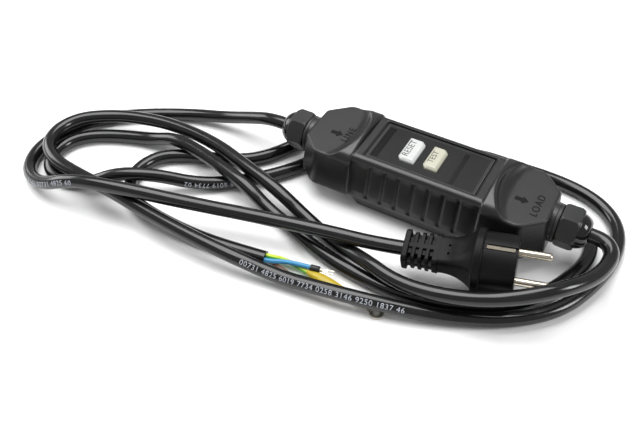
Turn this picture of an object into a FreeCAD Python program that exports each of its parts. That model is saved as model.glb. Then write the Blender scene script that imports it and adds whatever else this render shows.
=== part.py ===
import FreeCAD, Part
import math
import os
from FreeCAD import Placement, Rotation
from FreeCAD import Vector as V

# Portable residual-current box with its plug lead and its stripped load lead.
# X runs along the box towards the load end, Z is up, and the box stands on z = 0.
# All sizes are in millimetres.

# Size of the blocks that cut, larger than the whole housing, and how far a cut runs past a face
CUTTER = 300.0
PAST = 1.0

# Housing
HALF_LENGTH = 84.0
PARTING_Z = 13.0
PANEL_Z = 41.0
CREST_Z = 46.0
SHOULDER_Z = 38.5
WALL = 3.0
RIM_WALL = 1.6
RIM_FIT = 0.2
LEDGE_Z = 15.6
GASKET = 1.0
MIDDLE_HALF_WIDTH = 28.0
MIDDLE_TOP_HALF_WIDTH = 21.5
RAIL_Z = 42.3
RAIL_ROUNDING = 4.0
LEAST_ROUNDING = 1.0
END_FLARE = 1.5
END_HALF_WIDTH = MIDDLE_HALF_WIDTH + END_FLARE
SHOULDER_HALF_WIDTH = 25.0
COLLAR_X = 42.0
COLLAR_CHAMFER = 1.8
SCOOP_X = 48.5
SCOOP_RUN = 8.5
END_DRAFT = 3.5
CLIP_X = 70.0
CLIP_HALF_WIDTH = 22.5
CLIP_ANGLE = 43.0
CLIP_DRAFT = 8.0

# Belly of the lower shell
BELLY_HALF_LENGTH = 43.5
BELLY_SET_IN = 0.6
BELLY_HALF_WIDTH = MIDDLE_HALF_WIDTH - BELLY_SET_IN
BELLY_FOOT_HALF_LENGTH = 40.0
BELLY_FOOT_HALF_WIDTH = 21.5
BELLY_CHAMFER = 2.0
FLOOR = 2.4

# Grip grooves on the long sides
GROOVE_COUNT = 7
GROOVE_PITCH = 10.0
GROOVE_RADIUS = 1.7
GROOVE_DEPTH = 0.9
GROOVE_LOW_Z = 17.0
GROOVE_HIGH_Z = 35.5

# Screws and their bosses
SCREW_X = 36.0
SCREW_Y = 16.0
SCREW_RADIUS = 1.5
SCREW_HEAD_RADIUS = 2.8
SCREW_HEAD = 2.2
SCREW_SINK = 4.0
HEAD_SIDES = 12
BOSS_ACROSS = 7.2
SCREW_FIT = 0.15
SCREW_SLACK = 0.05
SCREW_TIP_GAP = 3.0
PILOT_END_GAP = 2.0

# Panel with its window and buttons
PANEL_LENGTH = 73.0
PANEL_WIDTH = 37.0
PANEL_THICKNESS = 1.4
PANEL_FIT = 0.15
ROOF = 2.6
WINDOW_X = -32.2
WINDOW_LENGTH = 4.6
WINDOW_WIDTH = 30.0
WINDOW_DEPTH = 0.8
RESET_X = -12.3
TEST_X = 3.7
RESET_SIZE = (11.4, 22.0)
TEST_SIZE = (10.2, 21.4)
BUTTON_STAND = 2.3
BUTTON_CLIP = 2.6
BUTTON_CHAMFER = 0.8
BUTTON_FIT = 0.4
BUTTON_TRAVEL = 2.5
FLANGE_LIP = 1.1
FLANGE_THICKNESS = 1.2
FLANGE_GAP = 0.2
STEM_RADIUS = 1.6

# Circuit board and what stands on it
BOARD_HALF_LENGTH = 59.0
BOARD_HALF_WIDTH = 20.0
BOARD_Z = 20.4
BOARD_THICKNESS = 1.6
SWITCH_SIZE = 10.0
SWITCH_HEIGHT = 4.3
SWITCH_CHAMFER = 1.0
SWITCH_CAP = 0.7
SWITCH_CAP_WIDTH = 3.4
SPRING_MEAN_RADIUS = 2.7
SPRING_WIRE_RADIUS = 0.35
SPRING_SEAT_GAP = 0.1
SPRING_TURNS = 3
SPRING_STEPS = 12
SPRING_SIDES = 4
TRANSFORMER_X = 25.0
TRANSFORMER_OUTER = 10.5
TRANSFORMER_INNER = 5.0
TRANSFORMER_HEIGHT = 9.0
TRANSFORMER_SIDES = 24
RELAY_X = -32.0
RELAY_SIZE = (18.0, 15.0, 12.0)
RELAY_CHAMFER = 0.8
TERMINAL_LENGTH = 11.0
TERMINAL_WIDTH = 25.0
TERMINAL_HEIGHT = 12.5
TERMINAL_SHAFT = 4.4

# Cable glands
GLAND_Z = 26.0
GLAND_THREAD_RADIUS = 9.9
GLAND_HOLE_FIT = 0.15
GLAND_REACH_IN = 10.0
GLAND_REACH_OUT = 9.0
GLAND_INNER_END = HALF_LENGTH - GLAND_REACH_IN
GLAND_BODY_END = HALF_LENGTH + GLAND_REACH_OUT
GLAND_COLLAR_RADIUS = 12.3
GLAND_COLLAR = 2.3
GLAND_BORE_RADIUS = 6.5
FINGER_TIP_RADIUS = 7.6
FINGER_LENGTH = 8.0
FINGER_END = GLAND_BODY_END + FINGER_LENGTH
FINGER_SLOTS = 6
FINGER_SLOT = 1.0
NUT_ACROSS_FLATS = 24.0
NUT_GAP = 0.3
NUT_LENGTH = 12.0
NUT_START = HALF_LENGTH + GLAND_COLLAR + NUT_GAP
NUT_END = NUT_START + NUT_LENGTH
NUT_FIT = 0.2
DOME_LENGTH = 6.4
DOME_END = NUT_END + DOME_LENGTH
DOME_FOOT_RADIUS = 11.4
DOME_SHOULDER = 3.8
DOME_SHOULDER_RADIUS = 9.9
DOME_RADIUS = 6.6
MOUTH_FIT = 0.3
SEAL_FIT = 0.2
SEAL_SQUEEZE = 0.15

# Cord
CORD_DIAMETER = 9.1
CORD_RADIUS = CORD_DIAMETER / 2
CORD_SIDES = 5
CORE_RADIUS = 1.5
CORE_SIDES = 5
CORE_RING = 1.9
CORE_LEAD = 3.5
SHEATH_REACH_IN = 14.0
SHEATH_INNER_END = HALF_LENGTH - SHEATH_REACH_IN
ARC_SHARE = 0.45

# Plug, in its own frame: X points out of the pin face
PLUG_PLACE = (75.6, -46.1, 27.2)
PLUG_YAW = 11.8
PLUG_PITCH = 5.5
PLUG_ROLL = 13.2
PLUG_SLEEVE_RADIUS = 18.0
PLUG_INSERT_RADIUS = 15.6
PLUG_INSERT_FIT = 0.15
PLUG_INSERT_DEPTH = 17.0
PLUG_DEPTH = 19.0
PLUG_FLANGE_RADIUS = 19.5
PLUG_FLANGE = 5.0
PLUG_FLANGE_CHAMFER = 1.1
PLUG_SIDES = 36
PIN_RADIUS = 2.4
PIN_LENGTH = 19.0
PIN_ROOT = 14.0
PIN_ROOT_RADIUS = 2.0
PIN_ROOT_SIDES = 8
PIN_SPACING = 19.0
PIN_FIT = 0.1
PIN_CHAMFER = 1.3
EARTH_HOLE_RADIUS = 2.5
EARTH_HOLE_Z = 10.0
EARTH_HOLE_DEPTH = 15.0
STRIP_WIDTH = 6.0
STRIP_THICKNESS = 1.1
STRIP_BACK = 17.5
STRIP_FRONT = 1.5
STRIP_FIT = 0.15
RELIEF_START = -44.2
RELIEF_END = -65.5
RELIEF_WIDTH = 21.0
RELIEF_HEIGHT = 14.0
RELIEF_TAPER = 1.5
RELIEF_CORNER = 4.0
CORNER_STEPS = 3
GRIP_POWER = 2.4
GRIP_SHARES = (0, 0.3, 0.6, 0.8, 0.92, 1)
FOOT_ROUNDNESS = 0.49
RELIEF_CLIP = 2.6
RELIEF_RING = 3.5
RELIEF_SLOT = 2.1
RELIEF_PITCH = 4.2
RELIEF_SLOTS = 4
RELIEF_BAR = 3.4
RELIEF_CORE = 5.2
ENTRY_RUN = 20.0

# Stripped end of the load lead
SLEEVE_RADIUS = 2.1
SLEEVE_LENGTH = 6.0
RING_SLEEVE_RADIUS = 2.6
RING_OUTER_RADIUS = 4.2
RING_HOLE_RADIUS = 2.15
RING_THICKNESS = 1.0
BARREL_RADIUS = 1.6
BARREL_Z = 1.9
BARREL_LENGTH = 14.5
RING_SLEEVE_LENGTH = 23.0
RING_REACH = 43.0
RING_Z = 0.9
RING_NECK_LENGTH = 7.0
RING_NECK_WIDTH = 3.0
FORK_THICKNESS = 0.8
FORK_TONGUE = (4.0, 1.8)
FORK_HEAD = (5.2, 5.4)
FORK_GAP = (3.4, 2.6)
FORK_FIT = 0.02

# Route of the plug lead, from its gland to the strain relief of the plug
LINE_ROUTE = [
    (-105, 0, 26), (-117, 0, 26), (-134, 2, 19), (-158, 3, 9), (-187, -3, 4.6),
    (-216, -19, 4.6), (-241, -38, 4.6), (-255, -61, 4.6), (-259, -86, 4.6),
    (-250, -107, 4.6), (-227, -118, 10), (-197, -114, 25.2), (-166, -105, 25.2),
    (-128, -92, 20), (-82, -78.5, 18.2), (-38, -69.4, 19.4),
]

# Route of the load lead, from its gland to its stripped end
LOAD_ROUTE = [
    (105, 0, 26), (114, 0, 26), (120, -6, 25.5), (121, -16, 25), (116.5, -34, 28),
    (102.5, -55.5, 32.5), (81.5, -71, 29), (55, -78, 20), (20, -82, 15.2),
    (-10, -72.8, 13.8), (-34, -63, 5), (-60, -53, 5), (-83, -48, 13.5), (-112, -40, 14.8),
    (-146, -30, 14.8), (-182, -28, 14.6), (-211, -34, 14.4), (-232, -44, 14.4),
    (-246, -56, 14.4), (-251, -72, 14.4), (-246, -88, 14.4), (-230, -98, 14.4),
    (-206, -101, 14.8), (-176, -102.5, 14.8), (-148, -106, 14.4), (-112, -109, 14.2),
    (-80, -109, 12.5), (-50, -105, 6.5), (-22, -102, 8.8), (4, -97.5, 9.4), (30, -90, 7.2),
    (55, -80.5, 4.6), (84, -66, 4.6), (106.5, -44.5, 4.6), (118, -16, 4.6), (123, 8, 4.6),
    (121, 30, 4.6), (111, 46.5, 4.6), (93, 57, 4.6), (68, 60.5, 4.6), (42, 55.5, 8),
    (20, 48, 14.5), (-6, 39.5, 14.5), (-26, 37.5, 6), (-42, 37, 4.6), (-58, 30.5, 4.6),
    (-70, 18.5, 4.6), (-80, 2, 4.6), (-92, -20, 4.6), (-111, -42, 4.6), (-137, -61, 4.6),
    (-162, -75.5, 14), (-185, -87.5, 14.6), (-203, -97, 4.8), (-221, -104, 4.6),
    (-237, -99.5, 4.6), (-245.5, -86, 4.6), (-244.5, -70, 4.6), (-234, -57, 4.6),
    (-215, -47, 4.6), (-193, -40, 5.5), (-172, -39.5, 14.6), (-148, -43, 14.6),
    (-124, -49, 14.6), (-103, -55, 14.2), (-84, -59.5, 6), (-62, -65.5, 4.6), (-40, -73.5, 4.6),
    (-12, -79, 4.6), (16, -80, 4.6), (38, -75.5, 4.6), (56, -68.5, 4.6), (72, -60.5, 4.6),
    (87, -48.5, 4.6), (98, -31, 4.6), (105, -14, 4.6), (109, 1, 4.6), (107, 16, 4.6),
    (98, 28, 4.6), (82, 35.5, 4.6), (58, 37.5, 4.6), (34, 38.5, 4.6), (8, 44.5, 4.6),
    (-18, 50, 4.6), (-45, 50.5, 4.6), (-68, 46, 4.6), (-86, 34, 4.6), (-98, 17, 4.6),
    (-106, -3, 4.6), (-117, -20, 4.6), (-132, -30, 4.6), (-148, -36.6, 4.6),
    (-164, -42, 4.6), (-178.5, -52, 4.6), (-184, -69, 4.6), (-178.5, -86, 4.6),
    (-164, -96.5, 4.6), (-140, -100, 4.6), (-112, -101, 4.6), (-86, -98.5, 4.6),
    (-64, -95, 4.6),
]

# Routes of the three cores past the sheath's cut end
BLUE_ROUTE = [(-52, -91.9, 5.3), (-44, -90, 5.6), (-36, -88.4, 5.4)]
GREEN_YELLOW_ROUTE = [(-54, -89, 3.2), (-44, -89.9, 2.7), (-30, -91.5, 2.7)]
BROWN_ROUTE = [(-54, -95.6, 2.2), (-42, -97.4, 1.6), (-24, -98.6, 1.6)]


def box(x0, x1, y0, y1, z0, z1):
    """A block between two corners."""
    return Part.makeBox(x1 - x0, y1 - y0, z1 - z0, V(x0, y0, z0))


def centred_box(x, y, length, width, z0, z1):
    """A block centred on a point of the plan."""
    return box(x - length / 2, x + length / 2, y - width / 2, y + width / 2, z0, z1)


def cylinder(radius, start, end):
    """A round bar between two points."""
    start = V(*start)
    along = V(*end) - start
    return Part.makeCylinder(radius, along.Length, start, along)


def post(across_flats, x, y, z0, z1, sides=6):
    """An upright bar with flat sides."""
    corner = across_flats / 2 / math.cos(math.pi / sides)
    angles = [2 * math.pi * i / sides for i in range(sides)]
    outline = [(x + corner * math.cos(a), y + corner * math.sin(a), z0) for a in angles]
    return extruded(outline, (0, 0, z1 - z0))


def skinned(rings):
    """A solid with flat faces between rings that hold the same number of points."""
    faces = []
    for ring, after in zip(rings, rings[1:]):
        for i in range(len(ring)):
            faces.append(flat_face([ring[i - 1], ring[i], after[i]]))
            faces.append(flat_face([ring[i - 1], after[i], after[i - 1]]))
    faces += [flat_face(rings[0]), flat_face(rings[-1])]
    return Part.makeSolid(Part.makeShell(faces)).removeSplitter()


def flat_face(corners):
    """A flat face with these corners."""
    return Part.Face(Part.makePolygon(corners + corners[:1]))


def faceted_bar(stations, y=0.0, z=0.0, sides=24):
    """A bar along X through (x, radius) stations, turned with flat sides."""
    return skinned([polygon_points(V(x, y, z), V(1, 0, 0), radius, sides) for x, radius in stations])


def extruded(outline, direction):
    """A closed outline of points pulled straight along a direction."""
    return flat_face([V(*p) for p in outline]).extrude(V(*direction))


def half_space(point, normal):
    """A large block that fills the far side of a plane."""
    block = Part.makeBox(CUTTER, CUTTER, CUTTER, V(-CUTTER / 2, -CUTTER / 2, 0))
    block.Placement = Placement(V(*point), Rotation(V(0, 0, 1), V(*normal)))
    return block


def slice_between(shape, low, high):
    """What a shape has between two heights."""
    reach = CUTTER / 2
    return shape.common(box(-reach, reach, -reach, reach, low, high))


def mirrored(shape, axis):
    """The mirror image across the origin plane with that normal."""
    return shape.mirror(V(0, 0, 0), V(*axis))


def both_ends(shape):
    """A shape at the load end with its twin at the line end."""
    return [shape, mirrored(shape, (1, 0, 0))]


def slope_half_width(z):
    """Half width of the middle's outer wall at a height."""
    share = (z - PARTING_Z) / (RAIL_Z - PARTING_Z)
    return MIDDLE_HALF_WIDTH + share * (MIDDLE_TOP_HALF_WIDTH - MIDDLE_HALF_WIDTH)


def middle_form(inset=0.0):
    """The middle of the upper housing, with rounded long rails."""
    low = MIDDLE_HALF_WIDTH - inset
    high = MIDDLE_TOP_HALF_WIDTH - inset
    top = RAIL_Z - inset
    reach = COLLAR_X + COLLAR_CHAMFER + inset
    outline = [(-reach, -low, PARTING_Z), (-reach, low, PARTING_Z), (-reach, high, top), (-reach, -high, top)]
    form = extruded(outline, (2 * reach, 0, 0))
    rails = [e for e in form.Edges if is_along_x(e) and e.BoundBox.ZMin > top - 1]
    rounding = max(RAIL_ROUNDING - inset, LEAST_ROUNDING)
    return form.makeFillet(rounding, rails)


def is_along_x(edge):
    """True for a straight edge that runs along X."""
    span = edge.BoundBox
    return span.XLength > 1 and span.YLength < 0.01 and span.ZLength < 0.01


def end_section(inset=0.0):
    """Arched cross-section of the load end as a face at the collar."""
    low = END_HALF_WIDTH - inset
    shoulder = SHOULDER_HALF_WIDTH - inset
    shoulder_z = SHOULDER_Z - inset / 2
    x = COLLAR_X + inset
    foot_near = V(x, -low, PARTING_Z)
    foot_far = V(x, low, PARTING_Z)
    near = V(x, -shoulder, shoulder_z)
    far = V(x, shoulder, shoulder_z)
    arch = Part.Arc(far, V(x, 0, CREST_Z - inset), near)
    sides = [Part.LineSegment(foot_near, foot_far), Part.LineSegment(foot_far, far), arch]
    sides.append(Part.LineSegment(near, foot_near))
    return Part.Face(Part.Wire([s.toShape() for s in sides]))


def clip_planes(inset=0.0):
    """Half spaces that clip the corners and slope the end wall of the load end."""
    out = math.radians(CLIP_ANGLE)
    tilt = math.radians(CLIP_DRAFT)
    planes = []
    for side in (-1, 1):
        normal = V(math.sin(out) * math.cos(tilt), side * math.cos(out) * math.cos(tilt), math.sin(tilt))
        point = V(CLIP_X, side * CLIP_HALF_WIDTH, PANEL_Z) - normal * inset
        planes.append(half_space(point, normal))
    rise = CREST_Z - PARTING_Z
    end_normal = V(rise, 0, END_DRAFT)
    end_normal.normalize()
    end_point = V(HALF_LENGTH, 0, PARTING_Z) - end_normal * inset
    planes.append(half_space(end_point, end_normal))
    return planes


def plate_cutter(inset=0.0):
    """What the flat top plate and the hollow scoop beside the collar take away."""
    flat_x = SCOOP_X + SCOOP_RUN
    flat_z = PANEL_Z - inset
    rise = CREST_Z - PANEL_Z
    radius = (SCOOP_RUN ** 2 + rise ** 2) / (2 * rise)
    half_turn = math.asin(SCOOP_RUN / radius) / 2
    side = -CUTTER / 2
    top = V(SCOOP_X + inset, side, flat_z + rise)
    foot = V(flat_x + inset, side, flat_z)
    centre = foot + V(0, 0, radius)
    through = centre - V(radius * math.sin(half_turn), 0, radius * math.cos(half_turn))
    far = V(CUTTER, side, flat_z)
    far_high = V(CUTTER, side, CUTTER)
    top_high = V(top.x, side, CUTTER)
    sides = [
        Part.Arc(top, through, foot), Part.LineSegment(foot, far), Part.LineSegment(far, far_high),
        Part.LineSegment(far_high, top_high), Part.LineSegment(top_high, top),
    ]
    return Part.Face(Part.Wire([s.toShape() for s in sides])).extrude(V(0, CUTTER, 0))


def end_form(inset=0.0):
    """The load end: an arched hump with a flat plate and clipped corners."""
    form = end_section(inset).extrude(V(HALF_LENGTH, 0, 0))
    for plane in clip_planes(inset):
        form = form.cut(plane)
    if inset == 0:
        rim = [e for e in form.Edges if e.BoundBox.XMax < COLLAR_X + 0.01]
        collar = [e for e in rim if e.BoundBox.ZMax > PARTING_Z + 1]
        form = form.makeChamfer(COLLAR_CHAMFER, collar)
    return form.cut(plate_cutter(inset))


def housing_form(inset=0.0):
    """The whole closed form above the parting line, smaller by an inset."""
    load_end = end_form(inset)
    return middle_form(inset).fuse(both_ends(load_end)).removeSplitter()


def inner_form(inset, low, high):
    """The inside of the housing as a prism slice between two heights."""
    return slice_between(housing_form(inset), low, high)


def grooves():
    """Bars along the sloped side walls that cut the grip grooves."""
    out = GROOVE_RADIUS - GROOVE_DEPTH
    cutters = []
    for i in range(GROOVE_COUNT):
        x = (i - (GROOVE_COUNT - 1) / 2) * GROOVE_PITCH
        for side in (-1, 1):
            low = V(x, side * (slope_half_width(GROOVE_LOW_Z) + out), GROOVE_LOW_Z)
            high = V(x, side * (slope_half_width(GROOVE_HIGH_Z) + out), GROOVE_HIGH_Z)
            cutters.append(Part.makeCylinder(GROOVE_RADIUS, (high - low).Length, low, high - low))
    return cutters


def button_outline(size, grow, z0, z1, x):
    """A block with clipped corners, as the buttons and their holes have."""
    length = size[0] / 2 + grow
    width = size[1] / 2 + grow
    clip = BUTTON_CLIP
    outline = [
        (x - length, -width + clip, z0), (x - length + clip, -width, z0), (x + length, -width, z0),
        (x + length, width - clip, z0), (x + length - clip, width, z0), (x - length, width, z0),
    ]
    return extruded(outline, (0, 0, z1 - z0))


def screw_places():
    """Plan places of the four housing screws."""
    return [(sx * SCREW_X, sy * SCREW_Y) for sx in (-1, 1) for sy in (-1, 1)]


def make_upper_shell():
    """Upper housing with panel recess, button holes, gland holes and bosses."""
    roof_z = PANEL_Z - PANEL_THICKNESS - ROOF
    shell = housing_form()
    hollow = inner_form(WALL, LEDGE_Z, roof_z)
    rim = inner_form(RIM_WALL, PARTING_Z, LEDGE_Z)
    shell = shell.cut([hollow, rim])
    pocket_floor = PANEL_Z - PANEL_THICKNESS
    half = PANEL_LENGTH / 2 + PANEL_FIT
    wide = PANEL_WIDTH / 2 + PANEL_FIT
    slope = CREST_Z - PANEL_Z
    pocket = box(-half, half, -wide, wide, pocket_floor, CREST_Z + PAST)
    ramp = [
        (-half, -wide, PANEL_Z), (half, -wide, PANEL_Z),
        (half + slope, -wide, PANEL_Z + slope), (-half - slope, -wide, PANEL_Z + slope),
    ]
    pocket = pocket.fuse(extruded(ramp, (0, 2 * wide, 0)))
    shell = shell.cut(pocket)
    shell = shell.cut(grooves())
    for x, size in ((RESET_X, RESET_SIZE), (TEST_X, TEST_SIZE)):
        shell = shell.cut(button_outline(size, BUTTON_FIT, roof_z - PAST, PANEL_Z, x))
    board_top = BOARD_Z + BOARD_THICKNESS
    bosses = [post(BOSS_ACROSS, x, y, board_top, roof_z + PAST) for x, y in screw_places()]
    shell = shell.fuse(bosses)
    pilot = 2 * SCREW_RADIUS
    pilots = [post(pilot, x, y, board_top - PAST, roof_z - PILOT_END_GAP) for x, y in screw_places()]
    shell = shell.cut(pilots)
    seat = gland_bar([(HALF_LENGTH - END_DRAFT, GLAND_COLLAR_RADIUS), (HALF_LENGTH, GLAND_COLLAR_RADIUS)])
    seat = slice_between(seat, LEDGE_Z, CREST_Z)
    shell = shell.fuse(both_ends(seat))
    hole = GLAND_THREAD_RADIUS + GLAND_HOLE_FIT
    bore = gland_bar([(GLAND_INNER_END - PAST, hole), (HALF_LENGTH + PAST, hole)])
    return shell.cut(both_ends(bore)).removeSplitter()


def belly_form(inset=0.0):
    """Tapered foot of the lower shell, below the parting line."""
    low = BELLY_FOOT_HALF_WIDTH - inset
    high = BELLY_HALF_WIDTH - inset
    reach = BELLY_HALF_LENGTH - inset
    outline = [(-reach, -low, 0), (-reach, low, 0), (-reach, high, PARTING_Z), (-reach, -high, PARTING_Z)]
    form = extruded(outline, (2 * reach, 0, 0))
    lean = BELLY_HALF_LENGTH - BELLY_FOOT_HALF_LENGTH
    for side in (-1, 1):
        form = form.cut(half_space((side * reach, 0, PARTING_Z), (side * PARTING_Z, 0, -lean)))
    if inset:
        return form
    outer = [e for e in form.Edges if e.BoundBox.ZMin < PARTING_Z / 2]
    return form.makeChamfer(BELLY_CHAMFER, outer)


def make_lower_shell():
    """Lower housing: a hollow belly with a flat flange inside the upper rim."""
    flange_top = LEDGE_Z - GASKET
    flange = inner_form(RIM_WALL + RIM_FIT, PARTING_Z, flange_top)
    shell = belly_form().fuse(flange)
    cavity = slice_between(belly_form(FLOOR), FLOOR, PARTING_Z)
    mouth_x = BELLY_HALF_LENGTH - FLOOR
    mouth_y = MIDDLE_HALF_WIDTH - WALL - RIM_FIT - GASKET
    mouth = box(-mouth_x, mouth_x, -mouth_y, mouth_y, PARTING_Z - PAST, flange_top)
    shell = shell.cut(cavity.fuse(mouth))
    bosses = [post(BOSS_ACROSS, x, y, FLOOR / 2, BOARD_Z) for x, y in screw_places()]
    shell = shell.fuse(bosses)
    shaft = 2 * (SCREW_RADIUS + SCREW_FIT)
    head = SCREW_HEAD_RADIUS + SCREW_FIT
    for x, y in screw_places():
        shell = shell.cut(post(shaft, x, y, -PAST, BOARD_Z + PAST))
        shell = shell.cut(post(2 * head, x, y, -PAST, SCREW_SINK, HEAD_SIDES))
    return shell.removeSplitter()


def make_gasket():
    """Flat seal between the flange of the lower shell and the ledge above it."""
    low = LEDGE_Z - GASKET
    outer = inner_form(RIM_WALL + RIM_FIT, low, LEDGE_Z)
    return outer.cut(inner_form(WALL + RIM_FIT, low - PAST, LEDGE_Z + PAST))


def make_screws():
    """Four pan-head screws, each a separate solid."""
    tip_z = PANEL_Z - PANEL_THICKNESS - ROOF - SCREW_TIP_GAP
    screws = []
    for x, y in screw_places():
        shank = post(2 * (SCREW_RADIUS - SCREW_SLACK), x, y, SCREW_SINK, tip_z)
        head = post(2 * SCREW_HEAD_RADIUS, x, y, SCREW_SINK - SCREW_HEAD, SCREW_SINK, HEAD_SIDES)
        screws.append(shank.fuse(head))
    return Part.makeCompound(screws)


def make_panel():
    """Flat plate with the two button holes and the seat of the window."""
    low = PANEL_Z - PANEL_THICKNESS
    panel = centred_box(0, 0, PANEL_LENGTH, PANEL_WIDTH, low, PANEL_Z)
    for x, size in ((RESET_X, RESET_SIZE), (TEST_X, TEST_SIZE)):
        panel = panel.cut(button_outline(size, BUTTON_FIT, low - PAST, PANEL_Z + PAST, x))
    length = WINDOW_LENGTH + 2 * PANEL_FIT
    width = WINDOW_WIDTH + 2 * PANEL_FIT
    return panel.cut(centred_box(WINDOW_X, 0, length, width, PANEL_Z - WINDOW_DEPTH, PANEL_Z + PAST))


def make_window():
    """Dark glossy strip set flush in the panel."""
    return centred_box(WINDOW_X, 0, WINDOW_LENGTH, WINDOW_WIDTH, PANEL_Z - WINDOW_DEPTH, PANEL_Z)


def make_button(x, size):
    """Button cap with chamfered top, a captive flange and a stem."""
    flange_top = PANEL_Z - PANEL_THICKNESS - ROOF - FLANGE_GAP
    flange_low = flange_top - FLANGE_THICKNESS
    cap = button_outline(size, 0, flange_low, PANEL_Z + BUTTON_STAND, x)
    crown = [e for e in cap.Edges if e.BoundBox.ZMin > PANEL_Z + BUTTON_STAND - 0.01]
    cap = cap.makeChamfer(BUTTON_CHAMFER, crown)
    length = size[0] + 2 * FLANGE_LIP
    width = size[1] + 2 * FLANGE_LIP
    flange = centred_box(x, 0, length, width, flange_low, flange_top)
    stem = cylinder(STEM_RADIUS, (x, 0, stem_end_z()), (x, 0, flange_low))
    return cap.fuse([flange, stem]).removeSplitter()


def switch_top_z():
    """Top of a switch body on the board."""
    return BOARD_Z + BOARD_THICKNESS + SWITCH_HEIGHT


def stem_end_z():
    """Lower end of a button's stem, which meets the switch at full travel."""
    return switch_top_z() + SWITCH_CAP + BUTTON_TRAVEL + FLANGE_GAP


def make_switch(x):
    """Push switch on the board below a button."""
    low = BOARD_Z + BOARD_THICKNESS
    body = centred_box(x, 0, SWITCH_SIZE, SWITCH_SIZE, low, switch_top_z())
    upright = [e for e in body.Edges if e.BoundBox.ZLength > 1]
    body = body.makeChamfer(SWITCH_CHAMFER, upright)
    cap = centred_box(x, 0, SWITCH_CAP_WIDTH, SWITCH_CAP_WIDTH, switch_top_z(), switch_top_z() + SWITCH_CAP)
    return body.fuse(cap)


def make_spring(x):
    """Coil spring round a button's stem, in short straight steps."""
    seat = SPRING_WIRE_RADIUS + SPRING_SEAT_GAP
    low = switch_top_z() + seat
    high = PANEL_Z - PANEL_THICKNESS - ROOF - FLANGE_GAP - FLANGE_THICKNESS - seat
    count = SPRING_TURNS * SPRING_STEPS
    points = []
    for i in range(count + 1):
        angle = 2 * math.pi * i / SPRING_STEPS
        y = SPRING_MEAN_RADIUS * math.sin(angle)
        points.append(V(x + SPRING_MEAN_RADIUS * math.cos(angle), y, low + (high - low) * i / count))
    profile = ring_of_sides(points[0], points[1] - points[0], SPRING_WIRE_RADIUS, SPRING_SIDES)
    return Part.makePolygon(points).makePipeShell([profile], True, False, 1)


def make_board():
    """Circuit board held between the upper and lower screw bosses."""
    top = BOARD_Z + BOARD_THICKNESS
    board = centred_box(0, 0, 2 * BOARD_HALF_LENGTH, 2 * BOARD_HALF_WIDTH, BOARD_Z, top)
    shaft = 2 * (SCREW_RADIUS + SCREW_FIT)
    return board.cut([post(shaft, x, y, BOARD_Z - PAST, top + PAST) for x, y in screw_places()])


def make_transformer():
    """Ring core that senses the residual current."""
    low = BOARD_Z + BOARD_THICKNESS
    high = low + TRANSFORMER_HEIGHT
    ring = post(2 * TRANSFORMER_OUTER, TRANSFORMER_X, 0, low, high, TRANSFORMER_SIDES)
    hole = post(2 * TRANSFORMER_INNER, TRANSFORMER_X, 0, low - PAST, high + PAST, TRANSFORMER_SIDES)
    return ring.cut(hole)


def make_relay():
    """Sealed contact relay on the board."""
    low = BOARD_Z + BOARD_THICKNESS
    length, width, height = RELAY_SIZE
    relay = centred_box(RELAY_X, 0, length, width, low, low + height)
    upper = [e for e in relay.Edges if e.BoundBox.ZMin > low + height - 0.01]
    return relay.makeChamfer(RELAY_CHAMFER, upper)


def make_terminal_block():
    """Load-end terminal block with three square screw shafts."""
    low = BOARD_Z + BOARD_THICKNESS
    x = BOARD_HALF_LENGTH - TERMINAL_LENGTH / 2
    block = centred_box(x, 0, TERMINAL_LENGTH, TERMINAL_WIDTH, low, low + TERMINAL_HEIGHT)
    top = low + TERMINAL_HEIGHT + PAST
    shafts = []
    for place in (-1, 0, 1):
        y = place * TERMINAL_WIDTH / 3
        shafts.append(centred_box(x, y, TERMINAL_SHAFT, TERMINAL_SHAFT, low + TERMINAL_HEIGHT / 2, top))
    return block.cut(shafts)


def hexagon(x0, x1, across_flats, z):
    """A hexagonal bar along X with a flat on top."""
    corner = across_flats / math.sqrt(3)
    outline = []
    for i in range(6):
        angle = math.radians(60 * i)
        outline.append((x0, corner * math.cos(angle), z + corner * math.sin(angle)))
    return extruded(outline, (x1 - x0, 0, 0))


def gland_bar(stations):
    """A turned bar on the glands' axis."""
    return faceted_bar(stations, 0, GLAND_Z)


def make_gland_body():
    """Threaded gland body: a collar against the end wall and slotted clamping fingers."""
    outer = GLAND_THREAD_RADIUS
    inner = GLAND_BORE_RADIUS
    thread = gland_bar([(GLAND_INNER_END, outer), (GLAND_BODY_END, outer), (FINGER_END, FINGER_TIP_RADIUS)])
    rim = GLAND_COLLAR_RADIUS
    collar = gland_bar([(HALF_LENGTH, rim), (HALF_LENGTH + GLAND_COLLAR, rim)])
    bore = gland_bar([(GLAND_INNER_END - PAST, inner), (FINGER_END + PAST, inner)])
    body = thread.fuse(collar).cut(bore)
    slots = []
    side = FINGER_SLOT / 2
    for i in range(FINGER_SLOTS):
        slot = box(GLAND_BODY_END, FINGER_END + PAST, -side, side, 0, GLAND_THREAD_RADIUS)
        slot.Placement = Placement(V(0, 0, GLAND_Z), Rotation(V(1, 0, 0), 360 * i / FINGER_SLOTS))
        slots.append(slot)
    return body.cut(slots).removeSplitter()


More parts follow.
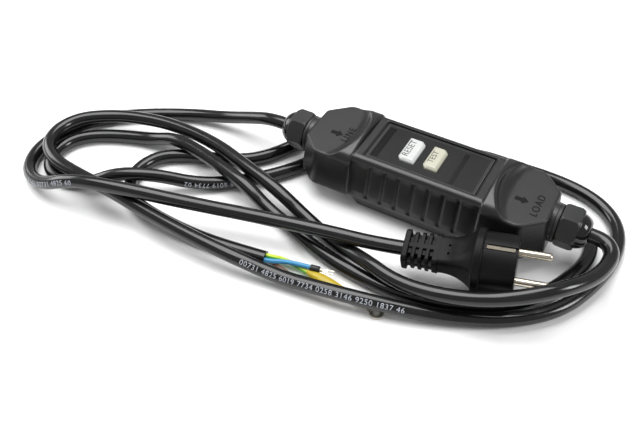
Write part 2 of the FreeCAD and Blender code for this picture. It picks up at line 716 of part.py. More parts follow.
def make_gland_nut():
    """Hexagonal nut with a domed front and the mouth that the cord comes out of."""
    hexa = hexagon(NUT_START, NUT_END, NUT_ACROSS_FLATS, GLAND_Z)
    shoulder = (NUT_END + DOME_SHOULDER, DOME_SHOULDER_RADIUS)
    dome = gland_bar([(NUT_END, DOME_FOOT_RADIUS), shoulder, (DOME_END, DOME_RADIUS)])
    thread = GLAND_THREAD_RADIUS + NUT_FIT
    tip = (FINGER_END + NUT_FIT, FINGER_TIP_RADIUS + NUT_FIT)
    hollow = gland_bar([(NUT_START - PAST, thread), (GLAND_BODY_END, thread), tip])
    mouth = CORD_RADIUS + MOUTH_FIT
    opening = gland_bar([(FINGER_END, mouth), (DOME_END + PAST, mouth)])
    return hexa.fuse(dome).cut([hollow, opening]).removeSplitter()


def make_gland_seal():
    """Rubber sleeve that grips the sheath inside the gland's fingers."""
    inner = CORD_RADIUS - SEAL_SQUEEZE
    outer = GLAND_BORE_RADIUS - SEAL_FIT
    sleeve = gland_bar([(HALF_LENGTH, outer), (FINGER_END, outer)])
    return sleeve.cut(gland_bar([(HALF_LENGTH - PAST, inner), (FINGER_END + PAST, inner)]))


def make_sheath_end():
    """The stretch of cord that the gland holds, up to the nut's mouth."""
    return gland_bar([(SHEATH_INNER_END, CORD_RADIUS), (DOME_END, CORD_RADIUS)])


def make_inner_leads():
    """Three insulated cores from the sheath's inner end to the terminal block."""
    leads = []
    for i in range(3):
        angle = math.radians(90 + 120 * i)
        y = CORE_RING * math.cos(angle)
        z = GLAND_Z + CORE_RING * math.sin(angle)
        section = ring_of_sides(V(BOARD_HALF_LENGTH, y, z), V(1, 0, 0), CORE_RADIUS, CORE_SIDES)
        leads.append(Part.Face(section).extrude(V(SHEATH_INNER_END - BOARD_HALF_LENGTH, 0, 0)))
    return Part.makeCompound(leads)


def rounded_path(points):
    """Straight runs joined by tangent arcs, and each arc's radius and turn."""
    places = [V(*p) for p in points]
    edges = []
    bends = []
    start = places[0]
    for before, here, after in zip(places, places[1:], places[2:]):
        back = before - here
        ahead = after - here
        cut = ARC_SHARE * min(back.Length, ahead.Length)
        turn = math.pi - back.getAngle(ahead)
        radius = cut / math.tan(turn / 2)
        back.normalize()
        ahead.normalize()
        inward = back + ahead
        inward.normalize()
        first = here + back * cut
        last = here + ahead * cut
        through = here + inward * (radius / math.cos(turn / 2) - radius)
        edges.append(Part.LineSegment(start, first).toShape())
        edges.append(Part.Arc(first, through, last).toShape())
        bends.append((radius, math.degrees(turn)))
        start = last
    edges.append(Part.LineSegment(start, places[-1]).toShape())
    return Part.Wire(edges), bends


def polygon_points(centre, direction, radius, sides):
    """Corners of a regular polygon across a direction, on a circle."""
    level = direction.cross(V(0, 0, 1))
    level.normalize()
    up = level.cross(direction)
    up.normalize()
    step = 2 * math.pi / sides
    corners = []
    for i in range(sides):
        angle = (i + 0.5) * step - math.pi / 2
        corners.append(centre + level * (radius * math.cos(angle)) + up * (radius * math.sin(angle)))
    return corners


def ring_of_sides(centre, direction, radius, sides):
    """A closed polygon across a direction, as a wire."""
    corners = polygon_points(centre, direction, radius, sides)
    return Part.makePolygon(corners + corners[:1])


def tube(points, radius, sides):
    """A faceted tube along straight runs and tangent arcs."""
    path, bends = rounded_path(points)
    direction = V(*points[1]) - V(*points[0])
    profile = ring_of_sides(V(*points[0]), direction, radius, sides)
    solid = path.makePipeShell([profile], True, False)
    return solid, path, bends


def least_gap(path, step=4.0, own=36.0):
    """Smallest distance between two stretches of one path, less the diameter."""
    count = int(path.Length / step)
    samples = [tuple(p) for p in path.discretize(count)]
    skip = int(own / step)
    least = 1e9
    for i, a in enumerate(samples):
        for b in samples[i + skip:]:
            least = min(least, math.dist(a, b))
    return least - CORD_DIAMETER


def make_cord(name, points):
    """A free cord, with its length, radii, volume and least gap printed."""
    solid, path, bends = tube(points, CORD_RADIUS, CORD_SIDES)
    section = CORD_SIDES / 2 * CORD_RADIUS ** 2 * math.sin(2 * math.pi / CORD_SIDES)
    share = solid.Volume / (section * path.Length)
    radii = " ".join(f"{radius:.0f}" for radius, turn in bends)
    print(f"{name}: length {path.Length:.0f}, volume over section times length {share:.4f}")
    print(f"{name}: radii {radii}")
    print(f"{name}: least gap to itself {least_gap(path):.2f}")
    return solid


def plug_pose():
    """Place and turn of the plug's frame: yawed, its pin face tipped up, and rolled."""
    yaw = Rotation(V(0, 0, 1), PLUG_YAW)
    pitch = Rotation(V(0, 1, 0), -PLUG_PITCH)
    roll = Rotation(V(1, 0, 0), PLUG_ROLL)
    return Placement(V(*PLUG_PLACE), yaw.multiply(pitch).multiply(roll))


def plug_placed(shape):
    """Move a piece of the plug from its own frame to where the plug lies."""
    placed = shape.copy()
    placed.Placement = plug_pose().multiply(placed.Placement)
    return placed


def plug_point(x, y=0.0, z=0.0):
    """A point of the plug's own frame, where the plug lies."""
    return tuple(plug_pose().multVec(V(x, y, z)))


def rounded_section(x, width, height, corner):
    """Points of a rounded rectangle across the plug's axis, with CORNER_STEPS sides in each corner."""
    points = []
    for quarter in range(4):
        centre_y = (width / 2 - corner) * (1 if quarter in (0, 3) else -1)
        centre_z = (height / 2 - corner) * (1 if quarter in (0, 1) else -1)
        for step in range(CORNER_STEPS + 1):
            angle = math.radians(90 * (quarter + step / CORNER_STEPS))
            points.append(V(x, centre_y + corner * math.cos(angle), centre_z + corner * math.sin(angle)))
    return points


def earth_grooves():
    """Cutters for the two side grooves that hold the earth strips."""
    cutters = []
    for side in (-1, 1):
        near = side * (PLUG_SLEEVE_RADIUS - STRIP_THICKNESS - STRIP_FIT)
        far = side * (PLUG_SLEEVE_RADIUS + PAST)
        width = STRIP_WIDTH / 2 + STRIP_FIT
        low, high = sorted((near, far))
        cutters.append(box(-STRIP_BACK - STRIP_FIT, PAST, -width, width, low, high))
    return cutters


def plug_bar(stations):
    """A turned bar on the plug's own axis."""
    return faceted_bar(stations, sides=PLUG_SIDES)


def make_plug_body():
    """Moulded grip, flange and sleeve of the plug."""
    flange_back = -PLUG_DEPTH - PLUG_FLANGE
    run = flange_back - RELIEF_START
    foot = 2 * math.cos(math.pi / PLUG_SIDES) * (PLUG_FLANGE_RADIUS - PLUG_FLANGE_CHAMFER)
    sections = []
    for share in GRIP_SHARES:
        swell = share ** GRIP_POWER
        width = RELIEF_WIDTH + swell * (foot - RELIEF_WIDTH)
        height = RELIEF_HEIGHT + swell * (foot - RELIEF_HEIGHT)
        corner = RELIEF_CORNER + swell * (FOOT_ROUNDNESS * foot - RELIEF_CORNER)
        sections.append(rounded_section(RELIEF_START + share * run, width, height, corner))
    grip = skinned(sections)
    edge = PLUG_FLANGE_CHAMFER
    rim = PLUG_FLANGE_RADIUS
    back = [(flange_back, rim - edge), (flange_back + edge, rim)]
    front = [(-PLUG_DEPTH - edge, rim), (-PLUG_DEPTH, rim - edge)]
    flange = plug_bar(back + front)
    sleeve = plug_bar([(-PLUG_DEPTH - PAST, PLUG_SLEEVE_RADIUS), (0, PLUG_SLEEVE_RADIUS)])
    recess = PLUG_INSERT_RADIUS + PLUG_INSERT_FIT
    socket = plug_bar([(-PLUG_INSERT_DEPTH, recess), (PAST, recess)])
    body = grip.fuse([flange, sleeve]).cut(socket).cut(earth_grooves())
    return body.removeSplitter()


def clipped_rectangle(x, width, height, clip):
    """Points of a rectangle with clipped corners across the plug's axis."""
    w = width / 2
    h = height / 2
    corners = []
    for sy, sz in ((1, 1), (-1, 1), (-1, -1), (1, -1)):
        beside = V(x, sy * w, sz * (h - clip))
        above = V(x, sy * (w - clip), sz * h)
        corners += [beside, above] if sy * sz > 0 else [above, beside]
    return corners


def make_plug_relief():
    """Ribbed strain relief with slots between four bars."""
    thin_width = RELIEF_WIDTH - RELIEF_TAPER
    thin_height = RELIEF_HEIGHT - RELIEF_TAPER
    form = skinned([
        clipped_rectangle(RELIEF_END, thin_width, thin_height, RELIEF_CLIP),
        clipped_rectangle(RELIEF_START, RELIEF_WIDTH, RELIEF_HEIGHT, RELIEF_CLIP),
    ])
    cutters = []
    for i in range(RELIEF_SLOTS):
        x = RELIEF_END + RELIEF_RING + i * RELIEF_PITCH
        after = x + RELIEF_SLOT
        bar = RELIEF_BAR / 2
        ring = box(x, after, -RELIEF_WIDTH, RELIEF_WIDTH, -RELIEF_WIDTH, RELIEF_WIDTH)
        upright = box(x, after, -bar, bar, -RELIEF_WIDTH, RELIEF_WIDTH)
        level = box(x, after, -RELIEF_WIDTH, RELIEF_WIDTH, -bar, bar)
        core = box(x, after, -RELIEF_CORE, RELIEF_CORE, -RELIEF_CORE, RELIEF_CORE)
        cutters.append(ring.cut([upright, level, core]))
    return form.cut(cutters)


def pin_places():
    """Places of the two pins across the plug's axis."""
    return (-PIN_SPACING / 2, PIN_SPACING / 2)


def make_plug_insert():
    """Hard front carrier of the pins, with the hole for a socket's earth pin."""
    insert = plug_bar([(-PLUG_INSERT_DEPTH, PLUG_INSERT_RADIUS), (0, PLUG_INSERT_RADIUS)])
    cutters = []
    for y in pin_places():
        root = PIN_ROOT_RADIUS + PIN_FIT
        cutters.append(faceted_bar([(-PIN_ROOT, root), (PAST, root)], y, 0, PIN_ROOT_SIDES))
    cutters.append(cylinder(EARTH_HOLE_RADIUS, (-EARTH_HOLE_DEPTH, 0, EARTH_HOLE_Z), (PAST, 0, EARTH_HOLE_Z)))
    return insert.cut(cutters)


def make_pins():
    """Two round contact pins with tapered tips, each a separate solid."""
    pins = []
    for y in pin_places():
        pin = cylinder(PIN_RADIUS, (0, y, 0), (PIN_LENGTH, y, 0))
        tip = [e for e in pin.Edges if e.BoundBox.XMin > PIN_LENGTH - 0.01]
        root = faceted_bar([(-PIN_ROOT, PIN_ROOT_RADIUS), (0, PIN_ROOT_RADIUS)], y, 0, PIN_ROOT_SIDES)
        pins.append(pin.makeChamfer(PIN_CHAMFER, tip).fuse(root))
    return Part.makeCompound(pins)


def make_earth_strips():
    """Two earth contact strips in the side grooves of the sleeve."""
    strips = []
    for side in (-1, 1):
        low = side * (PLUG_SLEEVE_RADIUS - STRIP_THICKNESS - STRIP_FIT / 2)
        high = side * (PLUG_SLEEVE_RADIUS - STRIP_FIT / 2)
        z0, z1 = sorted((low, high))
        strip = box(-STRIP_BACK, -STRIP_FRONT, -STRIP_WIDTH / 2, STRIP_WIDTH / 2, z0, z1)
        strips.append(strip)
    return Part.makeCompound(strips)


def core_start(angle):
    """Where a core leaves the cut end of the load lead, and a point just past it."""
    end = V(*LOAD_ROUTE[-1])
    along = end - V(*LOAD_ROUTE[-2])
    along.normalize()
    side = along.cross(V(0, 0, 1))
    side.normalize()
    up = side.cross(along)
    place = end + side * (CORE_RING * math.cos(angle)) + up * (CORE_RING * math.sin(angle))
    ahead = place + along * CORE_LEAD
    return [(place.x, place.y, place.z), (ahead.x, ahead.y, ahead.z)]


def make_core(angle_degrees, route):
    """An insulated core from the sheath's cut end along its route."""
    points = core_start(math.radians(angle_degrees)) + route
    solid, path, bends = tube(points, CORE_RADIUS, CORE_SIDES)
    return solid


def continued(route, length):
    """Ends of a bar that goes on straight past the last point of a route."""
    last = V(*route[-1])
    along = last - V(*route[-2])
    along.normalize()
    end = last + along * length
    return (last.x, last.y, last.z), (end.x, end.y, end.z)


def make_blue_sleeve():
    """Black insulating sleeve of the fork terminal on the blue core."""
    start, end = continued(BLUE_ROUTE, SLEEVE_LENGTH)
    return cylinder(SLEEVE_RADIUS, start, end)


def make_fork_terminal():
    """Small tinned fork that sticks out of the black sleeve."""
    start, end = continued(BLUE_ROUTE, SLEEVE_LENGTH)
    along = V(*end) - V(*start)
    along.z = 0
    along.normalize()
    turn = Rotation(V(1, 0, 0), along)
    reach, width = FORK_TONGUE
    tip = reach + FORK_HEAD[0] - PAST / 2
    half = FORK_THICKNESS / 2
    tongue = box(0, reach, -width / 2, width / 2, -half, half)
    head = box(tip - FORK_HEAD[0], tip, -FORK_HEAD[1] / 2, FORK_HEAD[1] / 2, -half, half)
    gap = box(tip - FORK_GAP[0], tip + PAST, -FORK_GAP[1] / 2, FORK_GAP[1] / 2, -PAST, PAST)
    fork = tongue.fuse(head).cut(gap).removeSplitter()
    fork.Placement = Placement(V(*end), turn)
    return fork.cut(cylinder(SLEEVE_RADIUS + FORK_FIT, start, end))


def make_ring_sleeve():
    """Yellow insulating cover over the core, next to the ring terminal."""
    start, end = continued(GREEN_YELLOW_ROUTE, RING_SLEEVE_LENGTH)
    return cylinder(RING_SLEEVE_RADIUS, start, end)


def ring_centre():
    """Centre of the ring terminal's hole, in line with its core."""
    start, centre = continued(GREEN_YELLOW_ROUTE, RING_REACH)
    return V(centre[0], centre[1], RING_Z)


def make_ring_terminal():
    """Tinned ring terminal with its crimped barrel."""
    centre = ring_centre()
    start, end = continued(GREEN_YELLOW_ROUTE, RING_SLEEVE_LENGTH)
    root = V(end[0], end[1], BARREL_Z)
    ahead = V(centre.x - root.x, centre.y - root.y, 0)
    ahead.normalize()
    half = V(0, 0, RING_THICKNESS / 2)
    ring = Part.makeCylinder(RING_OUTER_RADIUS, RING_THICKNESS, centre - half)
    barrel = Part.makeCylinder(BARREL_RADIUS, BARREL_LENGTH, root, ahead)
    side = RING_NECK_WIDTH / 2
    neck = box(-RING_NECK_LENGTH, 0, -side, side, -RING_THICKNESS / 2, RING_THICKNESS / 2)
    neck.Placement = Placement(centre, Rotation(V(1, 0, 0), ahead))
    hole = Part.makeCylinder(RING_HOLE_RADIUS, 3 * RING_THICKNESS, centre - half * 3)
    return ring.fuse([neck, barrel]).cut(hole).removeSplitter()


def save(name, shape):
    """Write one node as a STEP file and say what it holds."""
    solids = shape.Solids
    print(f"{name}: {len(solids)} solid, valid {shape.isValid()}, volume {shape.Volume:.0f}")
    if len(solids) == 1:
        shape = solids[0]
    shape.exportStep(os.path.join("parts", name + ".step"))


def save_gland(end, mirror_it):
    """Write the pieces of one gland and the cord end in it."""
    pieces = {
        "gland_body": make_gland_body(),
        "gland_nut": make_gland_nut(),
        "gland_seal": make_gland_seal(),
        "sheath_end": make_sheath_end(),
        "inner_leads": make_inner_leads(),
        "terminal_block": make_terminal_block(),
    }
    for name, shape in pieces.items():
        if mirror_it:
            shape = mirrored(shape, (1, 0, 0))
        save(f"{end}_{name}", shape)


def main():
    """Build and write every node."""
    os.makedirs("parts", exist_ok=True)
    save("upper_shell", make_upper_shell())
    save("lower_shell", make_lower_shell())
    save("housing_gasket", make_gasket())
    save("housing_screws", make_screws())
    save("panel_plate", make_panel())
    save("indicator_window", make_window())
    save("reset_button", make_button(RESET_X, RESET_SIZE))
    save("test_button", make_button(TEST_X, TEST_SIZE))
    save("reset_spring", make_spring(RESET_X))
    save("test_spring", make_spring(TEST_X))
    save("reset_switch", make_switch(RESET_X))
    save("test_switch", make_switch(TEST_X))
    save("circuit_board", make_board())
    save("current_transformer", make_transformer())
    save("contact_relay", make_relay())
    save_gland("load", False)
    save_gland("line", True)
    plug_pieces = {
        "plug_body": make_plug_body(),
        "plug_strain_relief": make_plug_relief(),
        "plug_insert": make_plug_insert(),
        "plug_pins": make_pins(),
        "plug_earth_strips": make_earth_strips(),
    }
    for name, shape in plug_pieces.items():
        save(name, plug_placed(shape))
    plug_entry = [plug_point(RELIEF_END - ENTRY_RUN), plug_point(RELIEF_END)]
    save("line_cord", make_cord("line_cord", LINE_ROUTE + plug_entry))
    save("load_cord", make_cord("load_cord", LOAD_ROUTE))
    save("blue_core", make_core(20, BLUE_ROUTE))
    save("green_yellow_core", make_core(140, GREEN_YELLOW_ROUTE))
    save("brown_core", make_core(260, BROWN_ROUTE))
    save("blue_core_sleeve", make_blue_sleeve())
    save("fork_terminal", make_fork_terminal())
    save("ring_sleeve", make_ring_sleeve())
    save("ring_terminal", make_ring_terminal())


main()
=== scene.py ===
import math
import bmesh
import bpy
import numpy as np
from mathutils import Matrix, Vector


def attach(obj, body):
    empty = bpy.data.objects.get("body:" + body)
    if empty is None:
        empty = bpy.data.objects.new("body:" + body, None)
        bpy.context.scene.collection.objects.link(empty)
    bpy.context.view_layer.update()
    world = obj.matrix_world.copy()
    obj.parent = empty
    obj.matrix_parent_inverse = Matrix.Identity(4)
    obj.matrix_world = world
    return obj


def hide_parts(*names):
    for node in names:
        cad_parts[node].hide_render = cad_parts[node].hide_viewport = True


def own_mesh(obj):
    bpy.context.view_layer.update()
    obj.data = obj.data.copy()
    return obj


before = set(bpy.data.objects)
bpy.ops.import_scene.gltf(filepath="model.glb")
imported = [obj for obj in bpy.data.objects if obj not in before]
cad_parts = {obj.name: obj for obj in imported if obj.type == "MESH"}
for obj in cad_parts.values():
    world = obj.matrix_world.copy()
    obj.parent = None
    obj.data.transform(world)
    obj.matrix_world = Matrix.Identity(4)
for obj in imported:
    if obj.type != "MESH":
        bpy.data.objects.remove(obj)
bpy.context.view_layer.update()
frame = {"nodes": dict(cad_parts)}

# In-line residual current box with its plug lead and load lead. Sizes are in millimetres here, and
# every mesh is written to Blender in metres.
MM = 0.001
HOUSING = "housing"

# Camera at the photograph's angle, in metres
CAMERA_PLACE = (0.1164, -0.3476, 0.3638)
CAMERA_TARGET = (-0.0558, -0.0414, 0.0)
CAMERA_LENS = 43.27

# Housing
HALF_LENGTH = 84.0
PARTING_Z = 13.0
PANEL_Z = 41.0
CREST_Z = 46.0
LEDGE_Z = 15.6
ROOF_Z = 37.0
WALL = 3.0
RIM = 1.6
GLAND_Z = 26.0
SCREW_X = 36.0
SCREW_Y = 16.0
BUTTONS = {"reset": (-12.3, 11.4, 22.0), "test": (3.7, 10.2, 21.4)}

# Cords
CORD_RADIUS = 4.55
ENTRY_RUN = 20
LINE_ROUTE = [
    (-105, 0, 26), (-117, 0, 26), (-134, 2, 19), (-158, 3, 9), (-187, -3, 4.6),
    (-216, -19, 4.6), (-241, -38, 4.6), (-255, -61, 4.6), (-259, -86, 4.6),
    (-250, -107, 4.6), (-227, -118, 10), (-197, -114, 25.2), (-166, -105, 25.2),
    (-128, -92, 20), (-82, -78.5, 18.2), (-38, -69.4, 19.4),
]
LOAD_ROUTE = [
    (105, 0, 26), (114, 0, 26), (120, -6, 25.5), (121, -16, 25), (116.5, -34, 28),
    (102.5, -55.5, 32.5), (81.5, -71, 29), (55, -78, 20), (20, -82, 15.2),
    (-10, -72.8, 13.8), (-34, -63, 5), (-60, -53, 5), (-83, -48, 13.5), (-112, -40, 14.8),
    (-146, -30, 14.8), (-182, -28, 14.6), (-211, -34, 14.4), (-232, -44, 14.4),
    (-246, -56, 14.4), (-251, -72, 14.4), (-246, -88, 14.4), (-230, -98, 14.4),
    (-206, -101, 14.8), (-176, -102.5, 14.8), (-148, -106, 14.4), (-112, -109, 14.2),
    (-80, -109, 12.5), (-50, -105, 6.5), (-22, -102, 8.8), (4, -97.5, 9.4), (30, -90, 7.2),
    (55, -80.5, 4.6), (84, -66, 4.6), (106.5, -44.5, 4.6), (118, -16, 4.6), (123, 8, 4.6),
    (121, 30, 4.6), (111, 46.5, 4.6), (93, 57, 4.6), (68, 60.5, 4.6), (42, 55.5, 8),
    (20, 48, 14.5), (-6, 39.5, 14.5), (-26, 37.5, 6), (-42, 37, 4.6), (-58, 30.5, 4.6),
    (-70, 18.5, 4.6), (-80, 2, 4.6), (-92, -20, 4.6), (-111, -42, 4.6), (-137, -61, 4.6),
    (-162, -75.5, 14), (-185, -87.5, 14.6), (-203, -97, 4.8), (-221, -104, 4.6),
    (-237, -99.5, 4.6), (-245.5, -86, 4.6), (-244.5, -70, 4.6), (-234, -57, 4.6),
    (-215, -47, 4.6), (-193, -40, 5.5), (-172, -39.5, 14.6), (-148, -43, 14.6),
    (-124, -49, 14.6), (-103, -55, 14.2), (-84, -59.5, 6), (-62, -65.5, 4.6), (-40, -73.5, 4.6),
    (-12, -79, 4.6), (16, -80, 4.6), (38, -75.5, 4.6), (56, -68.5, 4.6), (72, -60.5, 4.6),
    (87, -48.5, 4.6), (98, -31, 4.6), (105, -14, 4.6), (109, 1, 4.6), (107, 16, 4.6),
    (98, 28, 4.6), (82, 35.5, 4.6), (58, 37.5, 4.6), (34, 38.5, 4.6), (8, 44.5, 4.6),
    (-18, 50, 4.6), (-45, 50.5, 4.6), (-68, 46, 4.6), (-86, 34, 4.6), (-98, 17, 4.6),
    (-106, -3, 4.6), (-117, -20, 4.6), (-132, -30, 4.6), (-148, -36.6, 4.6),
    (-164, -42, 4.6), (-178.5, -52, 4.6), (-184, -69, 4.6), (-178.5, -86, 4.6),
    (-164, -96.5, 4.6), (-140, -100, 4.6), (-112, -101, 4.6), (-86, -98.5, 4.6),
    (-64, -95, 4.6),
]

# Plug, in its own frame with X out of the pin face
PLUG_PLACE = (75.6, -46.1, 27.2)
PLUG_TURN = (11.8, 5.5, 13.2)
RELIEF_START = -44.2
RELIEF_END = -65.5
FLANGE_BACK = -24.0


def plug_matrix():
    """Pose of the plug's frame: yawed, its pin face tipped up, and rolled."""
    yaw, pitch, roll = (math.radians(a) for a in PLUG_TURN)
    turn = Matrix.Rotation(yaw, 4, "Z") @ Matrix.Rotation(-pitch, 4, "Y") @ Matrix.Rotation(roll, 4, "X")
    return Matrix.Translation(PLUG_PLACE) @ turn


PLUG = plug_matrix()


def plug_point(x, y=0.0, z=0.0):
    """A point of the plug's own frame, in the part's frame."""
    return tuple(PLUG @ Vector((x, y, z)))


# ---- camera, light and floor

def make_camera():
    """The camera that took the photograph."""
    data = bpy.data.cameras.new("camera")
    data.lens = CAMERA_LENS
    data.sensor_width = 36
    data.clip_start = 0.01
    camera = bpy.data.objects.new("camera", data)
    bpy.context.scene.collection.objects.link(camera)
    camera.location = CAMERA_PLACE
    toward = Vector(CAMERA_TARGET) - Vector(CAMERA_PLACE)
    camera.rotation_euler = toward.to_track_quat("-Z", "Y").to_euler()
    bpy.context.scene.camera = camera


def make_light(name, place, target, size, power):
    """A soft rectangular studio light."""
    data = bpy.data.lights.new(name, "AREA")
    data.shape = "RECTANGLE"
    data.size, data.size_y = size
    data.energy = power
    light = bpy.data.objects.new(name, data)
    bpy.context.scene.collection.objects.link(light)
    light.location = place
    toward = Vector(target) - Vector(place)
    light.rotation_euler = toward.to_track_quat("-Z", "Y").to_euler()


def make_stage():
    """A plain white floor, a pale surround and the studio lights."""
    world = bpy.data.worlds.new("world")
    bpy.context.scene.world = world
    world.use_nodes = True
    back = world.node_tree.nodes["Background"]
    back.inputs["Color"].default_value = (1.0, 1.0, 1.0, 1)
    back.inputs["Strength"].default_value = 0.44
    bpy.context.scene.view_settings.view_transform = "Standard"
    mesh = bpy.data.meshes.new("floor")
    mesh.from_pydata([(-6, -6, 0), (6, -6, 0), (6, 6, 0), (-6, 6, 0)], [], [(0, 1, 2, 3)])
    floor = bpy.data.objects.new("floor", mesh)
    bpy.context.scene.collection.objects.link(floor)
    floor.location.z = -0.0004
    paint = bpy.data.materials.new("floor_white")
    paint.use_nodes = True
    shader = paint.node_tree.nodes["Principled BSDF"]
    shader.inputs["Base Color"].default_value = (0.93, 0.93, 0.93, 1)
    shader.inputs["Roughness"].default_value = 0.55
    mesh.materials.append(paint)
    make_light("overhead", (-0.3, 0.12, 1.1), (-0.05, -0.03, 0.0), (1.2, 0.8), 18)
    make_light("left", (-1.1, -0.1, 0.45), (-0.05, -0.03, 0.02), (0.6, 0.5), 4.5)
    make_light("right", (0.9, 0.1, 0.6), (0.0, -0.03, 0.02), (0.3, 0.4), 4.5)


make_camera()
make_stage()


# ---- materials

def node(tree, kind, **inputs):
    """A shader node with some of its sockets set."""
    made = tree.nodes.new(kind)
    for name, value in inputs.items():
        made.inputs[name.replace("_", " ")].default_value = value
    return made


def noise(tree, size, detail, stretch=None):
    """Noise in object space whose grains are about size millimetres wide."""
    place = tree.nodes.new("ShaderNodeTexCoord")
    vector = place.outputs["Object"]
    if stretch:
        mapping = node(tree, "ShaderNodeMapping", Scale=stretch)
        tree.links.new(vector, mapping.inputs["Vector"])
        vector = mapping.outputs["Vector"]
    made = node(tree, "ShaderNodeTexNoise", Scale=1000.0 / size, Detail=detail, Roughness=0.55)
    tree.links.new(vector, made.inputs["Vector"])
    return made.outputs["Fac"]


def ranged(tree, value, low, high, start=0.3, end=0.7):
    """A value mapped from start..end to low..high."""
    made = node(tree, "ShaderNodeMapRange", From_Min=start, From_Max=end, To_Min=low, To_Max=high)
    tree.links.new(value, made.inputs["Value"])
    return made.outputs["Result"]


def mixed(tree, factor, first, second):
    """A colour between two, each a colour or a socket."""
    made = tree.nodes.new("ShaderNodeMix")
    made.data_type = "RGBA"
    tree.links.new(factor, made.inputs["Factor"])
    for socket, value in ((made.inputs["A"], first), (made.inputs["B"], second)):
        if isinstance(value, tuple):
            socket.default_value = (*value, 1)
        else:
            tree.links.new(value, socket)
    return made.outputs["Result"]


def surface(name, color, rough, grain=0.4, depth=0.02, spread=0.12, patch=18.0, metallic=0.0, specular=0.5,
            rough_spread=0.05, stretch=None):
    """A moulded or metal surface: mottled colour, uneven gloss and a fine grain in its bump."""
    material = bpy.data.materials.new(name)
    material.use_nodes = True
    tree = material.node_tree
    shader = tree.nodes["Principled BSDF"]
    shader.inputs["Metallic"].default_value = metallic
    shader.inputs["Specular IOR Level"].default_value = specular
    wide = noise(tree, patch, 4.0)
    dark = tuple(c * (1 - spread) for c in color)
    light = tuple(min(1, c * (1 + spread)) for c in color)
    tree.links.new(mixed(tree, ranged(tree, wide, 0, 1), dark, light), shader.inputs["Base Color"])
    fine = noise(tree, grain, 2.0, stretch)
    uneven = ranged(tree, wide, rough - rough_spread, rough + rough_spread)
    tree.links.new(uneven, shader.inputs["Roughness"])
    bump = node(tree, "ShaderNodeBump", Strength=0.6, Distance=depth * MM)
    tree.links.new(fine, bump.inputs["Height"])
    tree.links.new(bump.outputs["Normal"], shader.inputs["Normal"])
    return material


def masked(name, attribute, plain, special, color, special_color, grain, depth, sand_depth):
    """Black moulding with a satin finish that turns into another one where a vertex attribute says so."""
    material = surface(name, color, plain, grain=0.9, depth=depth)
    tree = material.node_tree
    shader = tree.nodes["Principled BSDF"]
    mask = tree.nodes.new("ShaderNodeAttribute")
    mask.attribute_name = attribute
    factor = mask.outputs["Fac"]
    base = shader.inputs["Base Color"].links[0].from_socket
    tree.links.new(mixed(tree, factor, base, special_color), shader.inputs["Base Color"])
    rough = tree.nodes.new("ShaderNodeMix")
    tree.links.new(factor, rough.inputs["Factor"])
    tree.links.new(shader.inputs["Roughness"].links[0].from_socket, rough.inputs["A"])
    rough.inputs["B"].default_value = special
    tree.links.new(rough.outputs["Result"], shader.inputs["Roughness"])
    sand = noise(tree, grain, 4.0)
    height = node(tree, "ShaderNodeMath")
    height.operation = "MULTIPLY"
    tree.links.new(sand, height.inputs[0])
    tree.links.new(factor, height.inputs[1])
    bump = node(tree, "ShaderNodeBump", Strength=0.9, Distance=sand_depth * MM)
    tree.links.new(height.outputs[0], bump.inputs["Height"])
    tree.links.new(shader.inputs["Normal"].links[0].from_socket, bump.inputs["Normal"])
    tree.links.new(bump.outputs["Normal"], shader.inputs["Normal"])
    return material


def brushed(name, color, rough, axis_scale=None):
    """Plated metal with a fine grain or streaks, and dull spots."""
    return surface(name, color, rough, grain=0.5, depth=0.0015, spread=0.12, patch=4.0, metallic=1.0,
                   rough_spread=0.08, stretch=axis_scale)


SHELL = masked("shell_black", "sand", 0.28, 0.44, (0.007, 0.007, 0.0072), (0.009, 0.009, 0.0092), 0.55, 0.012,
               0.1)
NUT = masked("gland_black", "gloss", 0.4, 0.08, (0.011, 0.011, 0.0115), (0.005, 0.005, 0.0055), 1.6, 0.02,
             0.004)
PANEL = surface("panel_black", (0.006, 0.006, 0.0062), 0.42, grain=0.35, depth=0.02, specular=0.24)
LINE_GREY = surface("panel_line", (0.045, 0.045, 0.047), 0.38, grain=0.5, depth=0.01)
LABEL = surface("label_dark", (0.004, 0.004, 0.004), 0.3, grain=0.7, depth=0.01, specular=0.2)
WINDOW = surface("window_gloss", (0.003, 0.003, 0.003), 0.14, grain=2.0, depth=0.004, specular=0.35)
RESET = surface("reset_white", (0.485, 0.50, 0.49), 0.34, grain=0.5, depth=0.012, spread=0.04)
TEST = surface("test_cream", (0.41, 0.405, 0.325), 0.34, grain=0.5, depth=0.012, spread=0.04)
INK = surface("ink_black", (0.012, 0.012, 0.013), 0.5, grain=0.3, depth=0.01)
EMBOSS = surface("emboss_black", (0.004, 0.004, 0.004), 0.62, grain=0.5, depth=0.02, specular=0.16)
PRINT = surface("print_grey", (0.36, 0.38, 0.42), 0.55, grain=0.25, depth=0.01, spread=0.35, patch=0.8)
CORD = surface("cord_rubber", (0.005, 0.005, 0.0053), 0.17, grain=0.9, depth=0.006, spread=0.25, patch=9.0)
PLUG_RUBBER = surface("plug_rubber", (0.0045, 0.0045, 0.0046), 0.42, grain=0.45, depth=0.02, patch=12.0,
                      specular=0.12)
PLUG_HARD = surface("plug_hard", (0.012, 0.012, 0.0125), 0.36, grain=0.6, depth=0.02)
GLAND = surface("gland_matte", (0.009, 0.009, 0.010), 0.45, grain=0.6, depth=0.02)
SEAL = surface("seal_rubber", (0.012, 0.012, 0.012), 0.7, grain=0.4, depth=0.04)
NICKEL = brushed("pin_nickel", (0.60, 0.54, 0.45), 0.22)
TIN = brushed("terminal_tin", (0.62, 0.59, 0.52), 0.4, (4, 4, 4))
STRIP = brushed("strip_nickel", (0.095, 0.086, 0.07), 0.45)
STEEL = brushed("screw_steel", (0.58, 0.58, 0.59), 0.3, (6, 1, 1))
